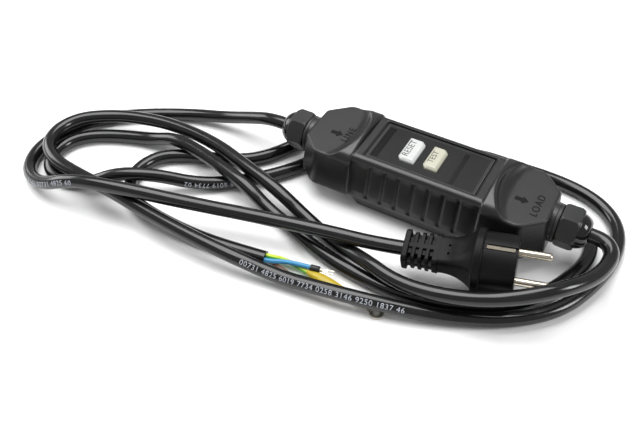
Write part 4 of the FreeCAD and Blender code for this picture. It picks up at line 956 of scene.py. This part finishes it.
def plug_body_field(p):
    """Soft moulded grip, flange and sleeve."""
    x, y, z = p[:, 0], p[:, 1], p[:, 2]
    radius = np.hypot(y, z)
    share = np.clip((x - RELIEF_START) / (FLANGE_BACK - RELIEF_START), 0, 1)
    swell = share ** 2.4
    half = [small + grow * swell for small, grow in zip(GRIP_HALF, GRIP_SWELL)]
    grip = rounded_box(y, z, half[0], half[1], GRIP_CORNER[0] + GRIP_CORNER[1] * swell) * 0.8
    waist = np.hypot(np.abs(y) - WAIST_PLACE[1], (x - WAIST_PLACE[0]) * 0.75) - WAIST_RADIUS
    grip = meet(grip, -waist, 1.0)
    grip = meet(grip, RELIEF_START - x, 0.4)
    grip = np.maximum(grip, x - GRIP_END)
    flange = meet(radius - FLANGE_RADIUS, np.abs(x - FLANGE_MIDDLE) - FLANGE_HALF, 1.0)
    crease = np.hypot(x - CREASE[0], radius - CREASE[1]) - CREASE[2]
    body = np.maximum(join(grip, flange, 0.8), -crease)
    sleeve = meet(meet(radius - SLEEVE_RADIUS, x, 0.45), SLEEVE_START - x, 0.1)
    body = join(body, sleeve, 0.35)
    body = np.maximum(body, -np.maximum(radius - SLEEVE_BORE, SLEEVE_FLOOR - x))
    groove = np.maximum(STRIP_GROOVE[1] - np.abs(z), STRIP_GROOVE[2] - x)
    body = np.maximum(body, -np.maximum(np.abs(y) - STRIP_GROOVE[0], groove))
    for side in (-1, 1):
        dimple = np.hypot(x - DIMPLES[0], y - side * DIMPLES[1]) - DIMPLES[2]
        body = np.maximum(body, -np.maximum(dimple, 5 - z))
    return body


def plug_relief_field(p):
    """Ribbed strain relief with slots between four bars, and a bigger ring at its cord end."""
    x, y, z = p[:, 0], p[:, 1], p[:, 2]
    share = (x - RELIEF_END) / (RELIEF_START - RELIEF_END)
    head = np.where(x < RELIEF_END + RELIEF_HEAD[0], RELIEF_HEAD[1], 0.0)
    half = [start + RELIEF_GROW * share + head for start in RELIEF_HALF]
    form = rounded_box(y, z, half[0], half[1], 3.0)
    form = meet(meet(form, RELIEF_END - x, 0.7), x - RELIEF_START, 0.1)
    turn = np.clip(np.round((x - RELIEF_END - SLOT_FIRST) / SLOT_PITCH), 0, 3)
    near = RELIEF_END + SLOT_FIRST + SLOT_PITCH * turn
    slot = np.maximum(np.abs(x - near) - SLOT_HALF, SLOT_FLOOR - np.maximum(np.abs(y), np.abs(z)))
    bars = np.minimum(np.abs(y), np.abs(z)) - BAR_HALF
    slot = np.maximum(slot, -bars)
    return meet(form, -slot, 0.35)


def plug_insert_field(p):
    """Hard pin carrier with a ditch at its rim, a ring round each pin and the earth contact hole."""
    x, y, z = p[:, 0], p[:, 1], p[:, 2]
    radius = np.hypot(y, z)
    form = meet(radius - CARRIER_RADIUS, np.abs(x + CARRIER_HALF) - CARRIER_HALF, 0.3)
    ditch = np.maximum(np.abs(radius - CARRIER_DITCH[0]) - CARRIER_DITCH[1], CARRIER_DITCH[2] - x)
    form = np.maximum(form, -ditch)
    for side in (-PIN_SPREAD, PIN_SPREAD):
        near = np.hypot(y - side, z)
        form = np.maximum(form, -np.maximum(near - PIN_HOLE[0], PIN_HOLE[1] - x))
        form = np.maximum(form, -np.maximum(np.abs(near - PIN_RING[0]) - PIN_RING[1], PIN_RING[2] - x))
    earth = np.maximum(np.hypot(y, z - EARTH_HOLE[0]) - EARTH_HOLE[1], EARTH_HOLE[2] - x)
    return np.maximum(form, -earth)


def earth_strip_field(p):
    """The two earth contact strips, sunk in the sleeve's top and bottom."""
    bar = rounded_box(p[:, 0] - STRIP_MIDDLE, p[:, 1], *STRIP_HALF, 0.5)
    return meet(bar, np.abs(np.abs(p[:, 2]) - STRIP_PLACE[0]) - STRIP_PLACE[1], 0.25)


def lathe(name, profile, material, place, sides):
    """A closed turned body about the X axis from (x, radius) stations, both ends on the axis."""
    points, faces = [], []
    for x, radius in profile:
        if radius == 0:
            points.append((x, 0, 0))
        else:
            angles = [2 * math.pi * i / sides for i in range(sides)]
            points += [(x, radius * math.cos(angle), radius * math.sin(angle)) for angle in angles]
    start = 0
    for (_, r0), (_, r1) in zip(profile, profile[1:]):
        after = start + (1 if r0 == 0 else sides)
        for i in range(sides):
            j = (i + 1) % sides
            if r0 == 0:
                faces.append((start, after + j, after + i))
            elif r1 == 0:
                faces.append((start + i, start + j, after))
            else:
                faces.append((start + i, start + j, after + j, after + i))
        start = after
    return new_object(name, turned(np.array(points, float), place), faces, material, 35)


def joined(name, objects):
    """Several meshes of one material as one object."""
    points, faces, count = [], [], 0
    material = objects[0].data.materials[0]
    for each in objects:
        own = points_of(each)
        points.append(own)
        faces += [tuple(v + count for v in f.vertices) for f in each.data.polygons]
        count += len(own)
        bpy.data.objects.remove(each)
    return new_object(name, np.concatenate(points), faces, material, 35)


PLUG_PIECES = [
    ("plug_moulding", plug_body_field, (-45.5, -21, -21), (1.2, 21, 21), 0.55, PLUG_RUBBER, "plug_body",
     "plug_rubber"),
    ("plug_relief_ribs", plug_relief_field, (-66.5, -12, -8.5), (-43.2, 12, 8.5), 0.4, PLUG_RUBBER,
     "plug_strain_relief", "plug_rubber"),
    ("plug_carrier", plug_insert_field, (-18, -16.8, -16.8), (1.2, 16.8, 16.8), 0.42, PLUG_HARD, "plug_insert",
     "plug_hard"),
]


def make_plug():
    """The plug's soft body, strain relief, pin carrier, pins and earth contact strips."""
    made = []
    for name, field, low, high, step, material, part, slot in PLUG_PIECES:
        piece = field_object(name, field, low, high, step, material, PLUG)
        made.append(settle(piece, HOUSING, [part]))
    pins = [lathe("pin", PIN_PROFILE, NICKEL, PLUG @ Matrix.Translation((0, y, 0)), 40)
            for y in (-PIN_SPREAD, PIN_SPREAD)]
    made.append(settle(joined("plug_pin_pair", pins), HOUSING, ["plug_pins"]))
    low, high = (-18, -2.2, -18.4), (-1, 2.2, 18.4)
    strips = field_object("plug_earth_contacts", earth_strip_field, low, high, 0.3, STRIP, PLUG)
    made.append(settle(strips, HOUSING, ["plug_earth_strips"]))
    return made


# ---- cords and cores

def spline_object(name, route, radius, material):
    """A cord as one smooth spline whose control points are the route's."""
    data = bpy.data.curves.new(name, "CURVE")
    data.dimensions = "3D"
    data.resolution_u = 8
    data.bevel_depth = radius * MM
    data.bevel_resolution = 6
    data.use_fill_caps = True
    spline = data.splines.new("NURBS")
    spline.points.add(len(route) - 1)
    for point, place in zip(spline.points, route):
        point.co = (*(c * MM for c in place), 1)
    spline.order_u = 3
    spline.use_endpoint_u = True
    data.materials.append(material)
    made = bpy.data.objects.new(name, data)
    bpy.context.scene.collection.objects.link(made)
    return made


def spline_points(route):
    """Points along a route's smooth spline, in millimetres."""
    guide = spline_object("guide", route, 0.0, CORD)
    guide.data.resolution_u = 12
    mesh = bpy.data.meshes.new_from_object(guide.evaluated_get(bpy.context.evaluated_depsgraph_get()))
    flat = np.empty(len(mesh.vertices) * 3, np.float32)
    mesh.vertices.foreach_get("co", flat)
    bpy.data.objects.remove(guide)
    return flat.reshape(-1, 3) / MM


def frames_along(points):
    """Unit directions along points, with side and up vectors that don't twist."""
    ahead = np.gradient(points, axis=0)
    ahead /= np.linalg.norm(ahead, axis=1)[:, None]
    side = np.cross(ahead, (0, 0, 1.0))
    side /= np.linalg.norm(side, axis=1)[:, None]
    return ahead, side, np.cross(side, ahead)


def tube(name, points, radius, material, sides=20):
    """A closed round tube along points, with an attribute for the place around it."""
    ahead, side, up = frames_along(points)
    angles = 2 * math.pi * np.arange(sides) / sides
    out = side[:, None, :] * np.cos(angles)[None, :, None] + up[:, None, :] * np.sin(angles)[None, :, None]
    ring = points[:, None, :] + out * radius
    count = len(points)
    faces = []
    for first in range(0, (count - 1) * sides, sides):
        for j in range(sides):
            k = (j + 1) % sides
            faces.append((first + j, first + sides + j, first + sides + k, first + k))
    faces += [tuple(range(sides)), tuple((count - 1) * sides + j for j in reversed(range(sides)))]
    made = new_object(name, ring.reshape(-1, 3), faces, material, 50)
    place = 0.5 + 0.5 * np.cos(angles + 0.7)
    mark(made, "around", np.tile(place, count))
    return made


CORE_RADIUS = 1.5
CORE_OUT = 1.9
CORE_STRAIGHT = 3.5
FORK_SLEEVE_LENGTH = 6
FORK_SLEEVE = [(0, 0), (0, 1.9), (0.3, 2.1), (5.5, 2.05), (6, 1.7), (6, 0)]
RING_COVER_REACH = (-7, 23)
RING_COVER = [(0, 0), (0, 1.55), (2, 1.95), (6, 2.45), (12, 2.75), (18, 2.7), (24, 2.3), (28, 1.9), (29.6, 1.7),
              (30, 1.4), (30, 0)]
RING_COVER_LAY = Matrix.Translation((0, 0.55, 0.3)) @ Matrix.Diagonal((1, 1.25, 0.95, 1))


def core_start(angle):
    """Where a core leaves the cut end of the load lead, and a point just past it."""
    end = np.array(LOAD_ROUTE[-1], float)
    along = end - np.array(LOAD_ROUTE[-2], float)
    along /= np.linalg.norm(along)
    side = np.cross(along, (0, 0, 1.0))
    side /= np.linalg.norm(side)
    up = np.cross(side, along)
    place = end + side * CORE_OUT * math.cos(angle) + up * CORE_OUT * math.sin(angle)
    return [tuple(place), tuple(place + along * CORE_STRAIGHT)]


# Each core's place round the lead in degrees, its route, its colour and its slot
CORES = {
    "blue_core": (20, [(-52, -91.9, 5.3), (-44, -90, 5.6), (-36, -88.4, 5.4)], BLUE, "core_blue"),
    "green_yellow_core": (
        140, [(-54, -89, 3.2), (-44, -89.9, 2.7), (-30, -91.5, 2.7)], GREEN_YELLOW, "core_green_yellow"),
    "brown_core": (260, [(-54, -95.6, 2.2), (-42, -97.4, 1.6), (-24, -98.6, 1.6)], BROWN, "core_brown"),
}


def straight_on(route, start, end):
    """Two points that go on straight past the last point of a route."""
    last, before = (np.array(route[i], float) for i in (-1, -2))
    along = (last - before) / np.linalg.norm(last - before)
    return last + along * start, last + along * end


def axis_matrix(start, end):
    """Frame whose X runs from one point to another."""
    along = Vector(end) - Vector(start)
    return Matrix.Translation(Vector(start)) @ along.to_track_quat("X", "Z").to_matrix().to_4x4()


def make_stripped_end():
    """The cores, sleeves and terminals past the cut end of the load lead."""
    made = []
    for name, (angle, route, material, slot) in CORES.items():
        points = spline_points(core_start(math.radians(angle)) + route)
        core = tube(name + "_insulation", points, CORE_RADIUS, material)
        made.append(settle(core, HOUSING, [name]))
    start, end = straight_on(CORES["blue_core"][1], 0, FORK_SLEEVE_LENGTH)
    sleeve = lathe("fork_sleeve", FORK_SLEEVE, SLEEVE, axis_matrix(start, end), 32)
    made.append(settle(sleeve, HOUSING, ["blue_core_sleeve"]))
    start, end = straight_on(CORES["green_yellow_core"][1], *RING_COVER_REACH)
    cover = lathe("ring_cover", RING_COVER, YELLOW, axis_matrix(start, end) @ RING_COVER_LAY, 32)
    made.append(settle(cover, HOUSING, ["ring_sleeve"]))
    made.append(make_fork())
    return made


def make_fork():
    """Slender tinned fork with two prongs, past the black sleeve."""
    start, end = straight_on(CORES["blue_core"][1], FORK_SLEEVE_LENGTH, 2 * FORK_SLEEVE_LENGTH)
    ahead = Vector(end) - Vector(start)
    ahead.z = 0
    place = Matrix.Translation(Vector(start)) @ ahead.to_track_quat("X", "Z").to_matrix().to_4x4()

    def field(p):
        x, y, z = p[:, 0], p[:, 1], p[:, 2]
        half = 0.8 + 0.8 * np.clip((x - 2.2) / 1.6, 0, 1)
        plate = meet(rounded_box(x - 4.3, y, 4.5, half, 0.5), np.abs(z - 0.12 * np.sin(x)) - 0.34, 0.12)
        gap = rounded_box(x - 8, y, 3.2, 0.5, 0.45)
        root = meet(np.hypot(y, z) - 1.25, np.abs(x - 0.4) - 0.9, 0.2)
        return join(meet(plate, -gap, 0.1), root, 0.2)

    fork = field_object("fork_prongs", field, (-0.8, -2.2, -1.7), (9.4, 2.2, 1.7), 0.2, TIN, place)
    return settle(fork, HOUSING, ["fork_terminal"])


def make_cords():
    """Both free cords, in place of their CAD nodes."""
    entry = [plug_point(RELIEF_END - ENTRY_RUN), plug_point(RELIEF_END)]
    line = spline_object("line_lead", LINE_ROUTE + entry, CORD_RADIUS, CORD)
    load = spline_object("load_lead", LOAD_ROUTE, CORD_RADIUS, CORD)
    settle(line, HOUSING, ["line_cord"])
    settle(load, HOUSING, ["load_cord"])
    return line, load


# ---- what repeats, made with Geometry Nodes

class Tree:
    """A Geometry Nodes tree with named inputs, which ends in real geometry with a material."""

    def __init__(self, name, inputs):
        self.tree = bpy.data.node_groups.new(name, "GeometryNodeTree")
        self.tree.interface.new_socket("Geometry", in_out="OUTPUT", socket_type="NodeSocketGeometry")
        self.sockets = {}
        for label, kind in inputs:
            made = self.tree.interface.new_socket(label, in_out="INPUT", socket_type="NodeSocket" + kind)
            self.sockets[label] = made.identifier
        self.entry = self.tree.nodes.new("NodeGroupInput")

    def value(self, label):
        """Socket of a named input."""
        return self.entry.outputs[label]

    def add(self, kind, settings=None, **inputs):
        """A node whose sockets are set or linked; underscores stand for spaces in their names."""
        made = self.tree.nodes.new(kind)
        for key, setting in (settings or {}).items():
            setattr(made, key, setting)
        for key, given in inputs.items():
            socket = made.inputs[key.replace("_", " ")]
            if isinstance(given, bpy.types.NodeSocket):
                self.tree.links.new(given, socket)
            else:
                socket.default_value = given
        return made

    def math(self, operation, first, second):
        """Result of a sum on two numbers or sockets."""
        made = self.tree.nodes.new("ShaderNodeMath")
        made.operation = operation
        for socket, given in zip(made.inputs, (first, second)):
            if isinstance(given, bpy.types.NodeSocket):
                self.tree.links.new(given, socket)
            else:
                socket.default_value = given
        return made.outputs[0]

    def vector(self, x=0.0, y=0.0, z=0.0):
        """A vector of three numbers or sockets."""
        return self.add("ShaderNodeCombineXYZ", X=x, Y=y, Z=z).outputs[0]

    def finish(self, geometry, material):
        """Real geometry with its material, at the tree's output."""
        real = self.add("GeometryNodeRealizeInstances", Geometry=geometry).outputs[0]
        painted = self.add("GeometryNodeSetMaterial", Geometry=real, Material=material).outputs[0]
        exit_node = self.tree.nodes.new("NodeGroupOutput")
        self.tree.links.new(painted, exit_node.inputs["Geometry"])

    def grow(self, name, values, smooth=40.0):
        """A plain mesh object grown by the tree with these input values."""
        mesh = bpy.data.meshes.new(name + "_seed")
        seed = bpy.data.objects.new(name + "_seed", mesh)
        bpy.context.scene.collection.objects.link(seed)
        modifier = seed.modifiers.new("grow", "NODES")
        modifier.node_group = self.tree
        for label, given in values.items():
            modifier[self.sockets[label]] = given
        shaped = seed.evaluated_get(bpy.context.evaluated_depsgraph_get())
        mesh = bpy.data.meshes.new_from_object(shaped)
        seed.modifiers.remove(modifier)
        bpy.data.objects.remove(seed)
        mesh.name = name
        mesh.polygons.foreach_set("use_smooth", [True] * len(mesh.polygons))
        mesh.set_sharp_from_angle(angle=math.radians(smooth))
        made = bpy.data.objects.new(name, mesh)
        bpy.context.scene.collection.objects.link(made)
        return made


def cut_by_bars(tree, solid, length, width, depth, top, bars):
    """A screw head with a slot, or a cross of two of unequal depth, sunk from its top."""
    height = tree.math("MULTIPLY", depth, 2.0)
    for count, turn in enumerate(bars):
        size = tree.vector(length, width, tree.math("MULTIPLY", height, 1 + 0.06 * count))
        bar = tree.add("GeometryNodeMeshCube", Size=size).outputs[0]
        place = tree.vector(0.0, 0.0, top)
        bar = tree.add("GeometryNodeTransform", Geometry=bar, Translation=place, Rotation=(0, 0, turn))
        bar = bar.outputs[0]
        cut = tree.tree.nodes.new("GeometryNodeMeshBoolean")
        cut.operation = "DIFFERENCE"
        tree.tree.links.new(solid, cut.inputs["Mesh 1"])
        tree.tree.links.new(bar, cut.inputs["Mesh 2"])
        solid = cut.outputs["Mesh"]
    return solid


def screw_tree(name, bars, material):
    """Screws on a grid: a tapered head with a drive, and a shank with thread rings."""
    tree = Tree(name, [
        ("Count X", "Int"), ("Count Y", "Int"), ("Span X", "Float"), ("Span Y", "Float"),
        ("Head Radius", "Float"), ("Head Height", "Float"), ("Shank Radius", "Float"),
        ("Shank Length", "Float"), ("Pitch", "Float"), ("Centre", "Vector"), ("Turn", "Vector")])
    head_height = tree.value("Head Height")
    rim = tree.math("MULTIPLY", tree.value("Head Radius"), 0.86)
    head = tree.add(
        "GeometryNodeMeshCone", Vertices=40, Side_Segments=3, Radius_Top=rim,
        Radius_Bottom=tree.value("Head Radius"), Depth=head_height).outputs["Mesh"]
    slot_length = tree.math("MULTIPLY", tree.value("Head Radius"), 1.3 if len(bars) > 1 else 2.4)
    slot_width = tree.math("MULTIPLY", tree.value("Head Radius"), 0.26)
    slot_depth = tree.math("MULTIPLY", head_height, 0.55)
    head = cut_by_bars(tree, head, slot_length, slot_width, slot_depth, head_height, bars)
    pitch = tree.value("Pitch")
    length = tree.value("Shank Length")
    core = tree.math("MULTIPLY", tree.value("Shank Radius"), 0.84)
    shank = tree.add(
        "GeometryNodeMeshCone", Vertices=24, Radius_Top=tree.math("MULTIPLY", core, 0.4), Radius_Bottom=core,
        Depth=length).outputs["Mesh"]
    shank = tree.add("GeometryNodeTransform", Geometry=shank, Rotation=(math.pi, 0, 0)).outputs[0]
    turns = tree.math("DIVIDE", tree.math("MULTIPLY", length, 0.86), pitch)
    helix = tree.add(
        "GeometryNodeCurveSpiral", Resolution=20, Rotations=turns, Start_Radius=core,
        End_Radius=tree.math("MULTIPLY", core, 0.62),
        Height=tree.math("MULTIPLY", length, 0.86)).outputs[0]
    helix = tree.add("GeometryNodeTransform", Geometry=helix, Rotation=(math.pi, 0, 0)).outputs[0]
    thread = tree.add("GeometryNodeCurvePrimitiveCircle", Resolution=6,
                      Radius=tree.math("MULTIPLY", pitch, 0.3)).outputs[0]
    thread = tree.add("GeometryNodeCurveToMesh", Curve=helix, Profile_Curve=thread, Fill_Caps=True).outputs[0]
    whole = tree.tree.nodes.new("GeometryNodeJoinGeometry")
    for each in (thread, shank, head):
        tree.tree.links.new(each, whole.inputs[0])
    screw = tree.add("GeometryNodeTransform", Geometry=whole.outputs[0], Rotation=tree.value("Turn"))
    grid = tree.add(
        "GeometryNodeMeshGrid", Size_X=tree.value("Span X"), Size_Y=tree.value("Span Y"),
        Vertices_X=tree.value("Count X"), Vertices_Y=tree.value("Count Y")).outputs["Mesh"]
    placed = tree.add("GeometryNodeTransform", Geometry=grid, Translation=tree.value("Centre")).outputs[0]
    screws = tree.add("GeometryNodeInstanceOnPoints", Points=placed, Instance=screw.outputs[0]).outputs[0]
    tree.finish(screws, material)
    return tree


def spring_tree():
    """A coil spring along Z with a round wire."""
    tree = Tree("spring_tree", [
        ("Mean Radius", "Float"), ("Wire Radius", "Float"), ("Turns", "Float"), ("Height", "Float"),
        ("Foot", "Vector")])
    coil = tree.add(
        "GeometryNodeCurveSpiral", Resolution=36, Rotations=tree.value("Turns"),
        Start_Radius=tree.value("Mean Radius"), End_Radius=tree.value("Mean Radius"),
        Height=tree.value("Height")).outputs[0]
    wire = tree.add("GeometryNodeCurvePrimitiveCircle", Resolution=12, Radius=tree.value("Wire Radius"))
    mesh = tree.add("GeometryNodeCurveToMesh", Curve=coil, Profile_Curve=wire.outputs[0], Fill_Caps=True)
    mesh = mesh.outputs[0]
    mesh = tree.add("GeometryNodeTransform", Geometry=mesh, Translation=tree.value("Foot")).outputs[0]
    tree.finish(mesh, SPRING)
    return tree


def winding_tree():
    """Wire loops round a ring core."""
    tree = Tree("winding_tree", [
        ("Count", "Int"), ("Ring Radius", "Float"), ("Loop Width", "Float"), ("Loop Height", "Float"),
        ("Wire Radius", "Float"), ("Centre", "Vector")])
    loop = tree.add(
        "GeometryNodeCurvePrimitiveQuadrilateral", Width=tree.value("Loop Width"),
        Height=tree.value("Loop Height")).outputs[0]
    loop = tree.add("GeometryNodeFilletCurve", {"mode": "POLY"}, Curve=loop, Count=4,
                    Radius=tree.math("MULTIPLY", tree.value("Loop Width"), 0.18)).outputs[0]
    wire = tree.add("GeometryNodeCurvePrimitiveCircle", Resolution=8, Radius=tree.value("Wire Radius"))
    mesh = tree.add("GeometryNodeCurveToMesh", Curve=loop, Profile_Curve=wire.outputs[0]).outputs[0]
    mesh = tree.add("GeometryNodeTransform", Geometry=mesh, Rotation=(math.pi / 2, 0, 0)).outputs[0]
    ring = tree.add("GeometryNodeMeshCircle", Vertices=tree.value("Count"), Radius=tree.value("Ring Radius"))
    ring = ring.outputs[0]
    place = tree.add("GeometryNodeInputPosition").outputs[0]
    turn = tree.add("FunctionNodeAlignRotationToVector", {"axis": "X"}, Vector=place).outputs[0]
    loops = tree.add("GeometryNodeInstanceOnPoints", Points=ring, Instance=mesh, Rotation=turn).outputs[0]
    loops = tree.add("GeometryNodeTransform", Geometry=loops, Translation=tree.value("Centre")).outputs[0]
    tree.finish(loops, COPPER)
    return tree


def make_repeats():
    """Housing screws, springs, transformer winding and terminal screws."""
    screws = screw_tree("housing_screw_tree", (0.0, math.pi / 2), STEEL).grow("housing_screw_set", {
        "Count X": 2, "Count Y": 2, "Span X": 2 * SCREW_X * MM, "Span Y": 2 * SCREW_Y * MM,
        "Head Radius": 2.75 * MM, "Head Height": 2.2 * MM, "Shank Radius": 1.5 * MM, "Shank Length": 29.5 * MM,
        "Pitch": 1.3 * MM, "Centre": (0, 0, 4 * MM), "Turn": (math.pi, 0, 0)})
    settle(screws, HOUSING, ["housing_screws"])
    coil = spring_tree()
    for which in BUTTONS:
        spring = coil.grow(which + "_coil", {
            "Mean Radius": 2.7 * MM, "Wire Radius": 0.35 * MM, "Turns": 4.5, "Height": 8.4 * MM,
            "Foot": (BUTTONS[which][0] * MM, 0, 26.75 * MM)})
        settle(spring, HOUSING, [which + "_spring"])
        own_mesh(spring)
    winding = winding_tree().grow("transformer_winding", {
        "Count": 40, "Ring Radius": 7.75 * MM, "Loop Width": 6.1 * MM, "Loop Height": 9.6 * MM,
        "Wire Radius": 0.3 * MM, "Centre": (25 * MM, 0, 26.8 * MM)})
    settle(winding)
    small = screw_tree("terminal_screw_tree", (0.0,), STEEL)
    for end, x in (("line", -53.5), ("load", 53.5)):
        clamps = small.grow(end + "_terminal_screws", {
            "Count X": 1, "Count Y": 3, "Span X": 0.0, "Span Y": 50 / 3 * MM, "Head Radius": 1.9 * MM,
            "Head Height": 1.8 * MM, "Shank Radius": 1.2 * MM, "Shank Length": 2.6 * MM, "Pitch": 0.6 * MM,
            "Centre": (x * MM, 0, 31.2 * MM), "Turn": (0, 0, 0.5)})
        settle(clamps)


# ---- plain numbers printed along the cords

def print_along(name, route, start, words, size, face):
    """Plain characters laid on a cord from a place along it, on the side that faces a direction."""
    text = letters(name, words, 0, 0, 0, size, PRINT, depth=PRINT_DEPTH, spread=1.12)
    points = points_of(sliced(text, np.arange(-size / 2, size / 2, 0.35)))
    along, across = points[:, 1], -points[:, 0]
    line = spline_points(route)
    steps = np.linalg.norm(np.diff(line, axis=0), axis=1)
    reach = np.concatenate([[0], np.cumsum(steps)])
    place = start + along - along.min()
    ahead, side, up = frames_along(line)
    centre = np.stack([np.interp(place, reach, line[:, k]) for k in range(3)], 1)
    way = np.stack([np.interp(place, reach, ahead[:, k]) for k in range(3)], 1)
    out = np.array(face, float) - (way @ np.array(face, float))[:, None] * way
    out /= np.linalg.norm(out, axis=1)[:, None]
    over = np.cross(out, way)
    radius = CORD_RADIUS + points[:, 2]
    angle = (across / CORD_RADIUS)[:, None]
    moved = centre + radius[:, None] * (out * np.cos(angle) + over * np.sin(angle))
    text.data.vertices.foreach_set("co", (moved * MM).ravel().astype(np.float32))
    text.data.update()
    return settle(text)


PRINT_SIZE = 4.6
PRINT_DEPTH = 0.12

# Each number's cord, the length of cord before it, its characters and the way that it faces
PRINTED = {
    "number_front": (
        LOAD_ROUTE, 652, "00731 4825 6019 7734 0258 3146 9250 1837 46", (0.2, -0.74, 0.6)),
    "number_left": (LINE_ROUTE, 240, "3146 00731 4825 60", (-0.1, -0.9, 0.3)),
    "number_behind": (LOAD_ROUTE, 1138, "6019 7734 0258", (0.2, -0.9, 0.35)),
    "number_low": (LOAD_ROUTE, 1212, "4825 6019 7734 02", (0.2, -0.9, 0.35)),
}


def make_prints():
    """Every printed number on the cords."""
    return {name: print_along(name, route, start, words, PRINT_SIZE, face)
            for name, (route, start, words, face) in PRINTED.items()}


line_lead, load_lead = make_cords()
plug_parts = make_plug()
end_parts = make_stripped_end()
make_housing()
make_marks()
make_glands()
make_repeats()
prints = make_prints()

nodes = frame["nodes"]


# ---- carried-over CAD nodes

KEPT = {
    "housing_gasket": SEAL, "panel_plate": PANEL, "indicator_window": WINDOW, "reset_switch": SWITCH,
    "test_switch": SWITCH, "circuit_board": BOARD, "current_transformer": FERRITE, "contact_relay": RELAY,
    "load_gland_seal": SEAL, "line_gland_seal": SEAL, "load_sheath_end": CORD, "line_sheath_end": CORD,
    "load_inner_leads": BROWN, "line_inner_leads": BROWN, "load_terminal_block": TERMINAL,
    "line_terminal_block": TERMINAL, "ring_terminal": TIN,
}
for name, material in KEPT.items():
    nodes[name].data.materials.clear()
    nodes[name].data.materials.append(material)
